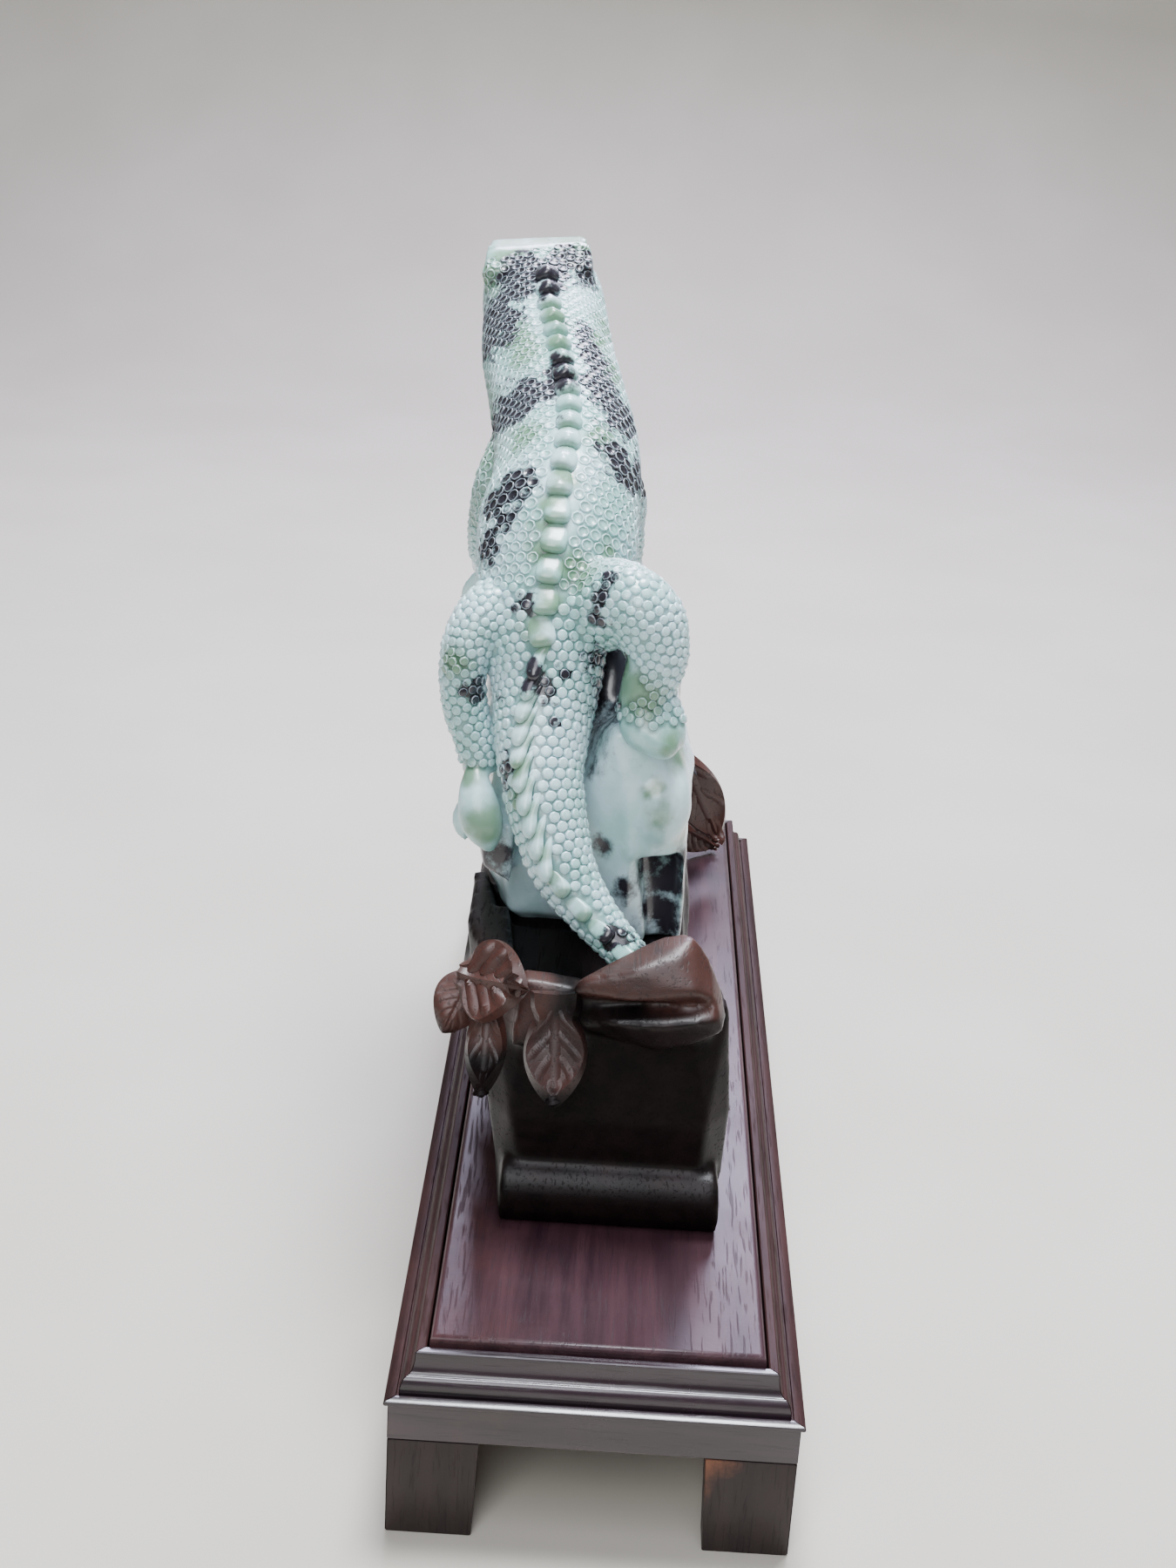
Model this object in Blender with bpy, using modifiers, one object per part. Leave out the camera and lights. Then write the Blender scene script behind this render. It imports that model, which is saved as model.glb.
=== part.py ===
"""A carved jade lizard on a jade rock, seated in a carved rosewood mount on a moulded rosewood base.

Run it with: blender --background --python part.py. Units are metres, +Z is up, the lizard looks along +Y.
The origin is at the middle of the base, on the surface that the feet stand on.
"""

import math

import bmesh
import bpy
from mathutils import Matrix, Vector

MM = 0.001

# Driving dimensions of the base.
BASE_LENGTH = 320 * MM
BASE_WIDTH = 90 * MM
FOOT_HEIGHT = 24.5 * MM
FIT_GAP = 0.3 * MM

# Frame rail: the fascia, the moulding above it, and the ledge round the panel.
FASCIA_HEIGHT = 10 * MM
FASCIA_INSET = 0.9 * MM
OUTER_LEDGE = 2.5 * MM
MOULDING_RISE = 8.8 * MM
LEDGE_START = 6.0 * MM
LEDGE_END = 8.2 * MM
RAIL_DEPTH = 14 * MM
GROOVE_DEPTH = 3 * MM
GROOVE_LOW = -2.0 * MM
GROOVE_HIGH = 1.2 * MM
ROUND_STEPS = 6

RAIL_BOTTOM = FOOT_HEIGHT + FIT_GAP
LEDGE_LEVEL = RAIL_BOTTOM + FASCIA_HEIGHT
RAIL_TOP = LEDGE_LEVEL + MOULDING_RISE

# Panel that floats in the rails' groove.
PANEL_PROUD = 2.0 * MM
PANEL_INSET = 8.8 * MM
PANEL_TOP = RAIL_TOP + PANEL_PROUD
PANEL_BOTTOM = LEDGE_LEVEL + GROOVE_LOW + FIT_GAP
TONGUE_THICKNESS = 2.5 * MM

# Battens, keys, feet, dowels and screws.
BATTEN_WIDTH = 14 * MM
BATTEN_THICKNESS = 6 * MM
BATTEN_PLACE = 92 * MM
KEY_SIZE = (8 * MM, 6.5 * MM, 2 * MM)
KEY_INSET = 7.5 * MM
KEY_RISE = 5 * MM
FOOT_BOARD_WIDTH = 19.6 * MM
FOOT_BOARD_TAPER = 0.9 * MM
FOOT_BOARD_THICKNESS = 8 * MM
CORNER_BLOCK_SIZE = 8 * MM
CORNER_BLOCK_HEIGHT = 18 * MM
DOWEL_RADIUS = 2 * MM
DOWEL_LENGTH = 12 * MM
DOWEL_PLACE = 16 * MM
DOWEL_INSET = 5 * MM
SCREW_PLACES = (-40 * MM, 55 * MM)
SCREW_SHANK_RADIUS = 1.6 * MM
SCREW_HEAD_RADIUS = 3.2 * MM
SCREW_LENGTH = 20 * MM
SCREW_HEAD_HEIGHT = 2.0 * MM

# Carved mount.
MOUNT_BOTTOM = PANEL_TOP + FIT_GAP
SLAB_HEIGHT = 12.5 * MM
SLAB_ROUNDING = 4.5 * MM
SEAT_FLOOR = 87.5 * MM
SEAT_CLEARANCE = 0.5 * MM
SEAT_CENTRE = (-8 * MM, 20 * MM)
SEAT_HALF = (17 * MM, 68 * MM)
SEAT_DEPTH = 12 * MM
SEAT_SIDES = 28
HOLLOW_CLEARANCE = 0.8

TUBE_SIDES = 14

MATERIALS = {
    "jade": ((0.55, 0.68, 0.58, 1.0), 0.35, 0.0),
    "rosewood": ((0.075, 0.022, 0.018, 1.0), 0.3, 0.0),
    "rosewood_mount": ((0.055, 0.016, 0.012, 1.0), 0.22, 0.0),
    "inner_wood": ((0.28, 0.13, 0.07, 1.0), 0.7, 0.0),
    "steel": ((0.6, 0.6, 0.6, 1.0), 0.35, 1.0),
}


def clear_scene():
    """Removes every object that the file opened with."""
    for old in list(bpy.data.objects):
        bpy.data.objects.remove(old)


def collection(name):
    made = bpy.data.collections.new(name)
    bpy.context.scene.collection.children.link(made)
    return made


def material(name):
    """The named wood, stone or metal, made the first time it is asked for."""
    made = bpy.data.materials.get(name)
    if made is None:
        colour, roughness, metallic = MATERIALS[name]
        made = bpy.data.materials.new(name)
        made.use_nodes = True
        shader = made.node_tree.nodes["Principled BSDF"]
        shader.inputs["Base Color"].default_value = colour
        shader.inputs["Roughness"].default_value = roughness
        shader.inputs["Metallic"].default_value = metallic
    return made


def solid(name, bm, finish, smooth_angle=None):
    """Links a finished bmesh into the scene as one of the object's pieces."""
    bmesh.ops.recalc_face_normals(bm, faces=bm.faces)
    mesh = bpy.data.meshes.new(name)
    bm.to_mesh(mesh)
    bm.free()
    made = bpy.data.objects.new(name, mesh)
    mesh.materials.append(material(finish))
    if smooth_angle is not None:
        mesh.shade_smooth()
        mesh.set_sharp_from_angle(angle=math.radians(smooth_angle))
    PARTS.objects.link(made)
    return made


def helper(name, bm):
    """A shape that only joins or cuts another one."""
    made = solid(name, bm, "inner_wood")
    PARTS.objects.unlink(made)
    HELPERS.objects.link(made)
    made.hide_render = True
    made.display_type = "WIRE"
    return made


def boolean(target, other, operation):
    modifier = target.modifiers.new(f"{operation.lower()} {other.name}", "BOOLEAN")
    modifier.operation = operation
    modifier.solver = "EXACT"
    modifier.object = other


def box(size, centre, turn=0.0):
    """A box of the given size about its centre, turned about Z."""
    bm = bmesh.new()
    scale = Matrix.Diagonal((*size, 1.0))
    place = Matrix.Translation(centre) @ Matrix.Rotation(turn, 4, "Z")
    bmesh.ops.create_cube(bm, size=1.0, matrix=place @ scale)
    return bm


def cylinder(radius, depth, centre, segments=20):
    bm = bmesh.new()
    bmesh.ops.create_cone(
        bm,
        cap_ends=True,
        segments=segments,
        radius1=radius,
        radius2=radius,
        depth=depth,
        matrix=Matrix.Translation(centre),
    )
    return bm


def rounded(bm, offset, segments, edges=None):
    bmesh.ops.bevel(
        bm,
        geom=list(edges if edges is not None else bm.edges),
        offset=offset,
        segments=segments,
        profile=0.5,
        affect="EDGES",
        material=-1,
    )
    return bm


def hull(points):
    """The convex solid round points given in millimetres."""
    bm = bmesh.new()
    for point in points:
        bm.verts.new(Vector(point) * MM)
    made = bmesh.ops.convex_hull(bm, input=bm.verts)
    inside = [v for v in made["geom_interior"] if isinstance(v, bmesh.types.BMVert)]
    bmesh.ops.delete(bm, geom=inside, context="VERTS")
    return bm


def loft(stations, sides=TUBE_SIDES):
    """A closed tube through stations of (x, y, z, half width, half height), in millimetres."""
    bm = bmesh.new()
    centres = [Vector(station[:3]) * MM for station in stations]
    last = len(stations) - 1
    rings = []
    for i, station in enumerate(stations):
        along = (centres[min(i + 1, last)] - centres[max(i - 1, 0)]).normalized()
        side = (Vector((1, 0, 0)) - along * along.x).normalized()
        up = along.cross(side)
        turn = Matrix((side, up, along)).transposed().to_4x4()
        size = Matrix.Diagonal((station[3] * MM, station[4] * MM, 1.0, 1.0))
        ring = bmesh.ops.create_circle(
            bm,
            cap_ends=i in (0, last),
            segments=sides,
            radius=1.0,
            matrix=Matrix.Translation(centres[i]) @ turn @ size,
        )
        rings.append(list({e for v in ring["verts"] for e in v.link_edges}))
    for first, second in zip(rings, rings[1:]):
        bmesh.ops.bridge_loops(bm, edges=first + second)
    return bm


# The base.


def rail_profile():
    """The rail's section as (distance in from the outer face, height over the outer ledge)."""
    lower_rise = 3.6 * MM
    fillet = 0.5 * MM
    round_start = OUTER_LEDGE + 0.5 * MM
    round_end = 4.4 * MM
    cove_top = MOULDING_RISE - fillet
    section = [
        (RAIL_DEPTH, -FASCIA_HEIGHT),
        (FASCIA_INSET, -FASCIA_HEIGHT),
        (FASCIA_INSET, -1.5 * MM),
        (0.2 * MM, -1.2 * MM),
        (0.0, -0.9 * MM),
        (0.0, -0.3 * MM),
        (0.4 * MM, 0.0),
        (OUTER_LEDGE, 0.0),
        (OUTER_LEDGE, -0.5 * MM),
        (round_start, -0.5 * MM),
    ]
    for step in range(ROUND_STEPS + 1):
        angle = math.pi / 2 * step / ROUND_STEPS
        reach = round_end - round_start
        section.append(
            (
                round_start + reach * (1 - math.cos(angle)),
                lower_rise * math.sin(angle),
            )
        )
    for step in range(1, ROUND_STEPS + 1):
        angle = math.pi / 2 * step / ROUND_STEPS
        section.append(
            (
                round_end + (LEDGE_START - round_end) * math.sin(angle),
                lower_rise + (cove_top - lower_rise) * (1 - math.cos(angle)),
            )
        )
    section += [
        (LEDGE_START + 0.2 * MM, MOULDING_RISE),
        (LEDGE_END, MOULDING_RISE),
        (LEDGE_END, GROOVE_HIGH),
        (LEDGE_END - GROOVE_DEPTH, GROOVE_HIGH),
        (LEDGE_END - GROOVE_DEPTH, GROOVE_LOW),
        (RAIL_DEPTH, GROOVE_LOW),
    ]
    return section


def rail(name, length, width, turn):
    """A mitred rail along the side of a frame of this length, width away from its middle line."""
    bm = bmesh.new()
    half = length / 2 - FIT_GAP / 2
    section = rail_profile()
    face = bm.faces.new(
        [bm.verts.new((-(half - d), -(width / 2 - d), LEDGE_LEVEL + h)) for d, h in section]
    )
    far = bmesh.ops.extrude_face_region(bm, geom=[face])
    for vert in (g for g in far["geom"] if isinstance(g, bmesh.types.BMVert)):
        vert.co.x = -vert.co.x
    bmesh.ops.rotate(bm, cent=(0, 0, 0), matrix=Matrix.Rotation(turn, 3, "Z"), verts=bm.verts)
    return solid(name, bm, "rosewood", smooth_angle=30)


def corners():
    """(name, sign of x, sign of y) of the base's four corners, the front being the tail's end."""
    for end, y_sign in (("front", -1), ("back", 1)):
        for side, x_sign in (("left", -1), ("right", 1)):
            yield f"{end}_{side}", x_sign, y_sign


def mitre_key(name, x_sign, y_sign, rails):
    """A loose key across one mitre, and the slot for it in both rails."""
    centre = (
        x_sign * (BASE_WIDTH / 2 - KEY_INSET),
        y_sign * (BASE_LENGTH / 2 - KEY_INSET),
        RAIL_BOTTOM + KEY_RISE,
    )
    turn = math.radians(-45 * x_sign * y_sign)
    solid(f"mitre_key_{name}", box(KEY_SIZE, centre, turn), "inner_wood")
    slot_size = [side + 2 * FIT_GAP for side in KEY_SIZE]
    slot = helper(f"key_slot_{name}", box(slot_size, centre, turn))
    for piece in rails:
        boolean(piece, slot, "DIFFERENCE")


def frame_rails():
    quarter = math.pi / 2
    rails = {
        "front": rail("frame_rail_front", BASE_WIDTH, BASE_LENGTH, 0),
        "right": rail("frame_rail_right", BASE_LENGTH, BASE_WIDTH, quarter),
        "back": rail("frame_rail_back", BASE_WIDTH, BASE_LENGTH, 2 * quarter),
        "left": rail("frame_rail_left", BASE_LENGTH, BASE_WIDTH, 3 * quarter),
    }
    for name, x_sign, y_sign in corners():
        end, side = name.split("_")
        mitre_key(name, x_sign, y_sign, (rails[end], rails[side]))
    return rails


def top_panel():
    """The raised field, with a rounded edge, and the tongue round it that sits in the rails."""
    field_size = (
        BASE_WIDTH - 2 * PANEL_INSET,
        BASE_LENGTH - 2 * PANEL_INSET,
        PANEL_TOP - PANEL_BOTTOM,
    )
    bm = box(field_size, (0, 0, (PANEL_TOP + PANEL_BOTTOM) / 2))
    top_edges = [e for e in bm.edges if min(v.co.z for v in e.verts) > PANEL_TOP - MM]
    rounded(bm, 1.4 * MM, 3, top_edges)
    panel = solid("top_panel", bm, "rosewood", smooth_angle=40)
    reach = LEDGE_END - GROOVE_DEPTH + FIT_GAP
    tongue_size = (BASE_WIDTH - 2 * reach, BASE_LENGTH - 2 * reach, TONGUE_THICKNESS)
    tongue_centre = (0, 0, PANEL_BOTTOM + TONGUE_THICKNESS / 2)
    boolean(panel, helper("panel_tongue", box(tongue_size, tongue_centre)), "UNION")
    return panel


def cross_battens():
    """Two battens under the panel, between the long rails."""
    size = (BASE_WIDTH - 2 * (RAIL_DEPTH + FIT_GAP), BATTEN_WIDTH, BATTEN_THICKNESS)
    level = PANEL_BOTTOM - FIT_GAP - BATTEN_THICKNESS / 2
    for end, y_sign in (("front", -1), ("back", 1)):
        solid(f"cross_batten_{end}", box(size, (0, y_sign * BATTEN_PLACE, level)), "inner_wood")


def foot_board(name, length, width, x_sign, y_sign, turn):
    """One of the two mitred boards of a corner foot, made on the -Y side and turned into place."""
    bm = bmesh.new()
    bmesh.ops.create_cube(bm, size=1.0)
    outer_x = length / 2 - FASCIA_INSET - FIT_GAP / 2
    outer_y = width / 2 - FASCIA_INSET
    for vert in bm.verts:
        at_corner, at_back, at_top = vert.co.x < 0, vert.co.y > 0, vert.co.z > 0
        mitre = FOOT_BOARD_THICKNESS if at_back else 0.0
        taper = 0.0 if at_top else FOOT_BOARD_TAPER
        along = mitre if at_corner else FOOT_BOARD_WIDTH - taper
        deep = FOOT_BOARD_THICKNESS if at_back else 0.0
        vert.co = Vector((-outer_x + along, -outer_y + deep, FOOT_HEIGHT if at_top else 0.0))
    if x_sign * y_sign > 0:
        bmesh.ops.scale(bm, vec=(-1, 1, 1), verts=bm.verts)
    bmesh.ops.rotate(bm, cent=(0, 0, 0), matrix=Matrix.Rotation(turn, 3, "Z"), verts=bm.verts)
    return solid(name, bm, "rosewood")


def foot_dowel(name, board, rail_piece, centre):
    """A dowel that pins a foot board to the rail over it, and its hole in both."""
    solid(name, cylinder(DOWEL_RADIUS, DOWEL_LENGTH, centre), "inner_wood", smooth_angle=40)
    hole = helper(
        name + "_hole",
        cylinder(DOWEL_RADIUS + FIT_GAP, DOWEL_LENGTH + 2 * FIT_GAP, centre),
    )
    boolean(board, hole, "DIFFERENCE")
    boolean(rail_piece, hole, "DIFFERENCE")


def feet(rails):
    """Four corner feet, each of two mitred boards, a glue block and two dowels."""
    level = RAIL_BOTTOM - FIT_GAP / 2
    for name, x_sign, y_sign in corners():
        end, side = name.split("_")
        end_turn = 0.0 if y_sign < 0 else math.pi
        side_turn = math.pi / 2 * x_sign
        end_board = foot_board(
            f"foot_{name}_end", BASE_WIDTH, BASE_LENGTH, x_sign, -y_sign, end_turn
        )
        side_board = foot_board(
            f"foot_{name}_side", BASE_LENGTH, BASE_WIDTH, x_sign, y_sign, side_turn
        )
        outer_x, outer_y = BASE_WIDTH / 2, BASE_LENGTH / 2
        foot_dowel(
            f"dowel_{name}_end",
            end_board,
            rails[end],
            (x_sign * (outer_x - DOWEL_PLACE), y_sign * (outer_y - DOWEL_INSET), level),
        )
        foot_dowel(
            f"dowel_{name}_side",
            side_board,
            rails[side],
            (x_sign * (outer_x - DOWEL_INSET), y_sign * (outer_y - DOWEL_PLACE), level),
        )
        block_inset = FASCIA_INSET + FOOT_BOARD_THICKNESS + FIT_GAP + CORNER_BLOCK_SIZE / 2
        block_centre = (
            x_sign * (outer_x - block_inset),
            y_sign * (outer_y - block_inset),
            FOOT_HEIGHT - CORNER_BLOCK_HEIGHT / 2,
        )
        block_size = (CORNER_BLOCK_SIZE, CORNER_BLOCK_SIZE, CORNER_BLOCK_HEIGHT)
        solid(f"corner_block_{name}", box(block_size, block_centre), "inner_wood")


def turned(name, profile, place, finish):
    """A turned piece from a profile of (radius, height) that runs from the top down."""
    mesh = bpy.data.meshes.new(name)
    made = bpy.data.objects.new(name, mesh)
    mesh.from_pydata(
        [(r, 0, z) for r, z in profile], [(i, i + 1) for i in range(len(profile) - 1)], []
    )
    mesh.materials.append(material(finish))
    made.location = place
    spin = made.modifiers.new("turn", "SCREW")
    spin.steps = spin.render_steps = 20
    spin.use_merge_vertices = True
    spin.merge_threshold = 0.01 * MM
    PARTS.objects.link(made)
    return made


def mount_screws(panel, mount):
    """Two screws from under the panel that hold the carved mount, and their holes."""
    head_level = PANEL_BOTTOM
    for end, y in zip(("front", "back"), SCREW_PLACES):
        profile = [
            (0.0, SCREW_LENGTH),
            (SCREW_SHANK_RADIUS * 0.3, SCREW_LENGTH - 1 * MM),
            (SCREW_SHANK_RADIUS, SCREW_LENGTH - 4 * MM),
            (SCREW_SHANK_RADIUS, SCREW_HEAD_HEIGHT),
            (SCREW_HEAD_RADIUS, 0.2 * MM),
            (SCREW_HEAD_RADIUS, 0.0),
            (0.0, 0.0),
        ]
        turned(f"mount_screw_{end}", profile, (0, y, head_level + 0.2 * MM), "steel")
        length = SCREW_LENGTH + 2 * MM
        shank = cylinder(SCREW_SHANK_RADIUS + FIT_GAP, length, (0, y, head_level + length / 2 - MM))
        shank_hole = helper(f"screw_hole_{end}", shank)
        sink_depth = SCREW_HEAD_HEIGHT + 1.5 * MM
        sink = cylinder(SCREW_HEAD_RADIUS + FIT_GAP, sink_depth, (0, y, head_level + sink_depth / 2 - MM))
        sink_hole = helper(f"screw_sink_{end}", sink)
        boolean(panel, shank_hole, "DIFFERENCE")
        boolean(panel, sink_hole, "DIFFERENCE")
        boolean(mount, shank_hole, "DIFFERENCE")


# The carved mount. Its points are in millimetres, in the object's own frame.


def seat(clearance, bottom):
    """The plug on the underside of the jade, or with a clearance the pocket that takes it."""
    bm = bmesh.new()
    height = SEAT_DEPTH
    spread = 1.06
    for level, grow in ((bottom, 1.0), (bottom + height, spread)):
        size = Matrix.Diagonal(
            (SEAT_HALF[0] * grow + clearance, SEAT_HALF[1] * grow + clearance, 1.0, 1.0)
        )
        bmesh.ops.create_circle(
            bm,
            cap_ends=True,
            segments=SEAT_SIDES,
            radius=1.0,
            matrix=Matrix.Translation((*SEAT_CENTRE, level)) @ size,
        )
    bmesh.ops.bridge_loops(bm, edges=list(bm.edges))
    return bm


def carved_mount():
    """One carved block: a foot slab, a stump, the dished rim, a curled lip and the leaves."""
    z0 = MOUNT_BOTTOM / MM
    z1 = z0 + SLAB_HEIGHT / MM
    slab = hull(
        [
            (x, y, z)
            for x, y in ((-25, -106), (27, -106), (18, -40), (17, 118), (-30, 118), (-31, -40))
            for z in (z0, z1)
        ]
    )
    level_edges = [
        e for e in slab.edges if abs(e.verts[0].co.z - e.verts[1].co.z) < 0.1 * MM
        and e.calc_face_angle(0) > 0.5
    ]
    upright_edges = [e for e in slab.edges if abs(e.verts[0].co.z - e.verts[1].co.z) > 5 * MM]
    rounded(slab, SLAB_ROUNDING, 3, level_edges + upright_edges)
    mount = solid("carved_mount", slab, "rosewood_mount", smooth_angle=35)

    top = 97.5
    stump = hull(
        [(x, y, z1 - 4) for x, y in ((-27, -92), (-18, -101), (13, -101), (17, -92),
                                     (17, 70), (12, 110), (-20, 112), (-31, 90), (-31, -50))]
        + [(x, y, top) for x, y in ((-29, -90), (-20, -99), (12, -99), (16, -90),
                                    (17, 80), (10, 104), (-22, 106), (-34, 86), (-34, -50))]
    )
    stump_front = hull(
        [(x, y, z1 - 4) for x, y in ((-8, -101), (20, -101), (28, -92), (26, -78), (14, -70), (-8, -70))]
        + [(x, y, top) for x, y in ((-8, -99), (16, -99), (26, -90), (24, -78), (13, -70), (-8, -70))]
    )
    rim_left = hull([(-36, -60, 92), (-27, -66, 92), (-37, -30, 93), (-29, -28, 93),
                     (-37, -66, 104), (-29, -68, 104), (-38, -30, 101), (-31, -28, 101),
                     (-33, -94, 96), (-24, -94, 96), (-30, -93, 107), (-24, -90, 107)])
    rim_front = hull([(-24, -101, 90), (-8, -102, 90), (-24, -88, 90), (-8, -88, 90),
                      (-22, -97, 105), (-8, -99, 104), (-22, -91, 105), (-8, -92, 104)])
    lip_upper = hull([(-12, -104, 98), (-12, -92, 98), (-9, -104, 106), (-10, -95, 106),
                      (5, -106, 103), (6, -93, 103), (14, -103, 118), (13, -93, 118),
                      (20, -104, 116), (20, -92, 115), (26, -108, 100), (26, -92, 99),
                      (25, -109, 106), (25, -92, 107)])
    lip_lower = hull([(-6, -106, 91), (26, -110, 95), (26, -94, 95), (-6, -92, 91),
                      (-4, -107, 98), (26, -111, 102), (25, -92, 102), (-4, -92, 98),
                      (8, -106, 88), (22, -106, 89), (8, -92, 86), (22, -92, 86)])
    leaf_upper = hull([(-39, -97, 99), (-38, -92, 100), (-34, -105, 98), (-31, -104, 94),
                       (-20, -104, 107), (-21, -98, 108), (-29, -92, 116), (-32, -92, 115),
                       (-27, -96, 116), (-30, -98, 96)])
    leaf_outer = hull([(-41, -94, 104), (-42, -88, 98), (-36, -88, 104), (-39, -97, 90),
                       (-33, -98, 92), (-35, -90, 90), (-34, -92, 103)])
    leaf_low_left = hull([(-29, -106, 100), (-22, -106, 101), (-29, -99, 100), (-22, -99, 101),
                          (-29, -107, 88), (-19, -107, 90), (-26, -109, 79), (-25, -101, 80),
                          (-29, -101, 88), (-19, -100, 90)])
    leaf_low_right = hull([(-18, -105, 103), (-7, -106, 101), (-18, -98, 103), (-7, -98, 101),
                           (-20, -107, 92), (-5, -108, 90), (-12, -111, 78), (-11, -102, 79),
                           (-20, -100, 92), (-5, -100, 90)])
    leaf_back = hull([(12, 96, 62), (14, 108, 62), (16, 96, 92), (19, 99, 93), (24, 100, 78), (31, 102, 64),
                      (31, 105, 57), (24, 98, 57), (12, 102, 90)])
    leaf_side_left = hull([(-30, 20, 60), (-39, 26, 74), (-40, 44, 76), (-30, 52, 62),
                           (-38, 30, 92), (-39, 42, 92), (-32, 24, 96), (-32, 46, 96)])
    leaf_side_right = hull([(14, -22, 62), (18, -16, 76), (18, 4, 78), (14, 12, 64),
                            (18, -12, 90), (18, 0, 90), (14.5, -18, 95), (14.5, 6, 95)])
    joined = {
        "stump": stump,
        "stump_front": stump_front,
        "rim_left": rim_left,
        "rim_front": rim_front,
        "lip_upper": lip_upper,
        "lip_lower": lip_lower,
        "leaf_upper": leaf_upper,
        "leaf_outer": leaf_outer,
        "leaf_low_left": leaf_low_left,
        "leaf_low_right": leaf_low_right,
        "leaf_back": leaf_back,
        "leaf_side_left": leaf_side_left,
        "leaf_side_right": leaf_side_right,
    }
    for name, bm in joined.items():
        boolean(mount, helper("mount_" + name, bm), "UNION")
    hollows = {
        "mount_pocket": seat(SEAT_CLEARANCE, SEAT_FLOOR),
        "mount_hollow": hull(rock_low_points(HOLLOW_CLEARANCE)),
        "mount_trough": loft(
            [(x, y, z, w + HOLLOW_CLEARANCE, h + HOLLOW_CLEARANCE) for x, y, z, w, h in TROUGH]
        ),
    }
    for name, bm in hollows.items():
        boolean(mount, helper(name, bm), "DIFFERENCE")
    return mount


# The jade: one stone, carved as a lizard on a rock.

SPINE = [
    (3.5, -90.0, 107.5, 4.0, 3.4),
    (-7.0, -81.5, 115.0, 5.4, 5.0),
    (-15.0, -75.0, 124.5, 7.4, 7.2),
    (-20.5, -66.5, 140.0, 9.2, 9.0),
    (-21.5, -60.0, 149.0, 10.6, 10.2),
    (-21.5, -51.5, 161.0, 12.8, 11.8),
    (-22.4, -45.0, 173.0, 15.5, 13.5),
    (-21.1, -34.5, 185.5, 19.0, 16.0),
    (-20.9, -26.5, 192.5, 19.1, 17.0),
    (-19.9, -16.5, 199.0, 18.2, 16.5),
    (-20.9, -0.5, 206.0, 17.9, 15.5),
    (-24.2, 19.0, 213.4, 17.5, 14.8),
    (-28.0, 41.0, 220.5, 17.3, 14.6),
    (-29.9, 58.5, 227.5, 16.6, 14.4),
    (-31.3, 68.0, 231.5, 16.2, 13.8),
    (-32.8, 78.0, 234.2, 14.8, 12.0),
    (-34.2, 88.0, 234.4, 11.4, 9.6),
    (-35.5, 98.0, 233.0, 8.2, 7.0),
    (-36.2, 104.5, 231.0, 5.6, 5.0),
    (-36.6, 107.0, 230.0, 2.6, 2.4),
]

# The trough under the tail starts a little beyond the tail's end.
TROUGH = [(4.5, -90.8, 106.8, 4.0, 3.4), *SPINE[:4]]

CROWN = [
    (-46.5, 57, 239.5), (-18.6, 57, 242.2), (-46.6, 66, 243.4), (-20.0, 66, 247.0),
    (-45.0, 78, 244.4), (-22.4, 78, 247.2), (-41, 88, 242.4), (-28, 88, 243.4),
    (-46.4, 60, 232), (-17.0, 60, 232), (-44, 84, 233), (-26, 84, 233),
]

LIMBS = {
    "hind_leg_right": [
        (-15, -42, 175, 8, 10), (-7.5, -50, 180.5, 9.4, 10.6), (0.5, -55, 179.5, 9, 9.8),
        (4.2, -57, 171.5, 7.2, 7.8), (2.5, -57.5, 163, 6.3, 6.8), (1.4, -58, 156, 5.6, 6),
        (4, -60.5, 151.5, 6.6, 5),
    ],
    "hind_leg_left": [
        (-28, -42, 175, 7.5, 9), (-37, -50, 173, 7, 8.5), (-41, -54, 166, 5.5, 7.5),
        (-40, -56, 154, 5, 5.5), (-36, -56, 144, 4.6, 5), (-34, -57, 136, 4.6, 5),
    ],
    "fore_leg_right": [
        (-12, 6, 205, 6.5, 7), (-3, -6, 195, 6, 6.5), (-3, 2, 184, 5.2, 5.5),
        (-4, 14, 175, 4.6, 5), (-5, 18, 170, 4.6, 4.6),
    ],
    "fore_leg_left": [
        (-33, 8, 205, 6.5, 7), (-39, -6, 195, 6, 6.5), (-41, 4, 184, 5.2, 5.5),
        (-41, 16, 175, 4.6, 5), (-40, 20, 170, 4.6, 4.6),
    ],
}

FEET = {
    "hind_foot_right": ((7.5, -62.0, 150.5), (7.6, 7.5, 6.0), (-20, 14, -10)),
    "hind_foot_left": ((-33.0, -63.0, 134.0), (6.5, 6.5, 10.5), (12, 0, 0)),
    "fore_foot_right": ((-4.0, 24.0, 167.0), (6.0, 10.0, 4.5), (0, 0, -15)),
    "fore_foot_left": ((-40.0, 26.0, 167.0), (6.0, 10.0, 4.5), (0, 0, 15)),
}


def sphere_at(centre, radii, turn_degrees):
    bm = bmesh.new()
    place = Matrix.Translation(Vector(centre) * MM)
    for axis, angle in zip("XYZ", turn_degrees):
        place = place @ Matrix.Rotation(math.radians(angle), 4, axis)
    size = Matrix.Diagonal((radii[0] * MM, radii[1] * MM, radii[2] * MM, 1.0))
    bmesh.ops.create_uvsphere(bm, u_segments=12, v_segments=8, radius=1.0, matrix=place @ size)
    return bm


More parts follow.
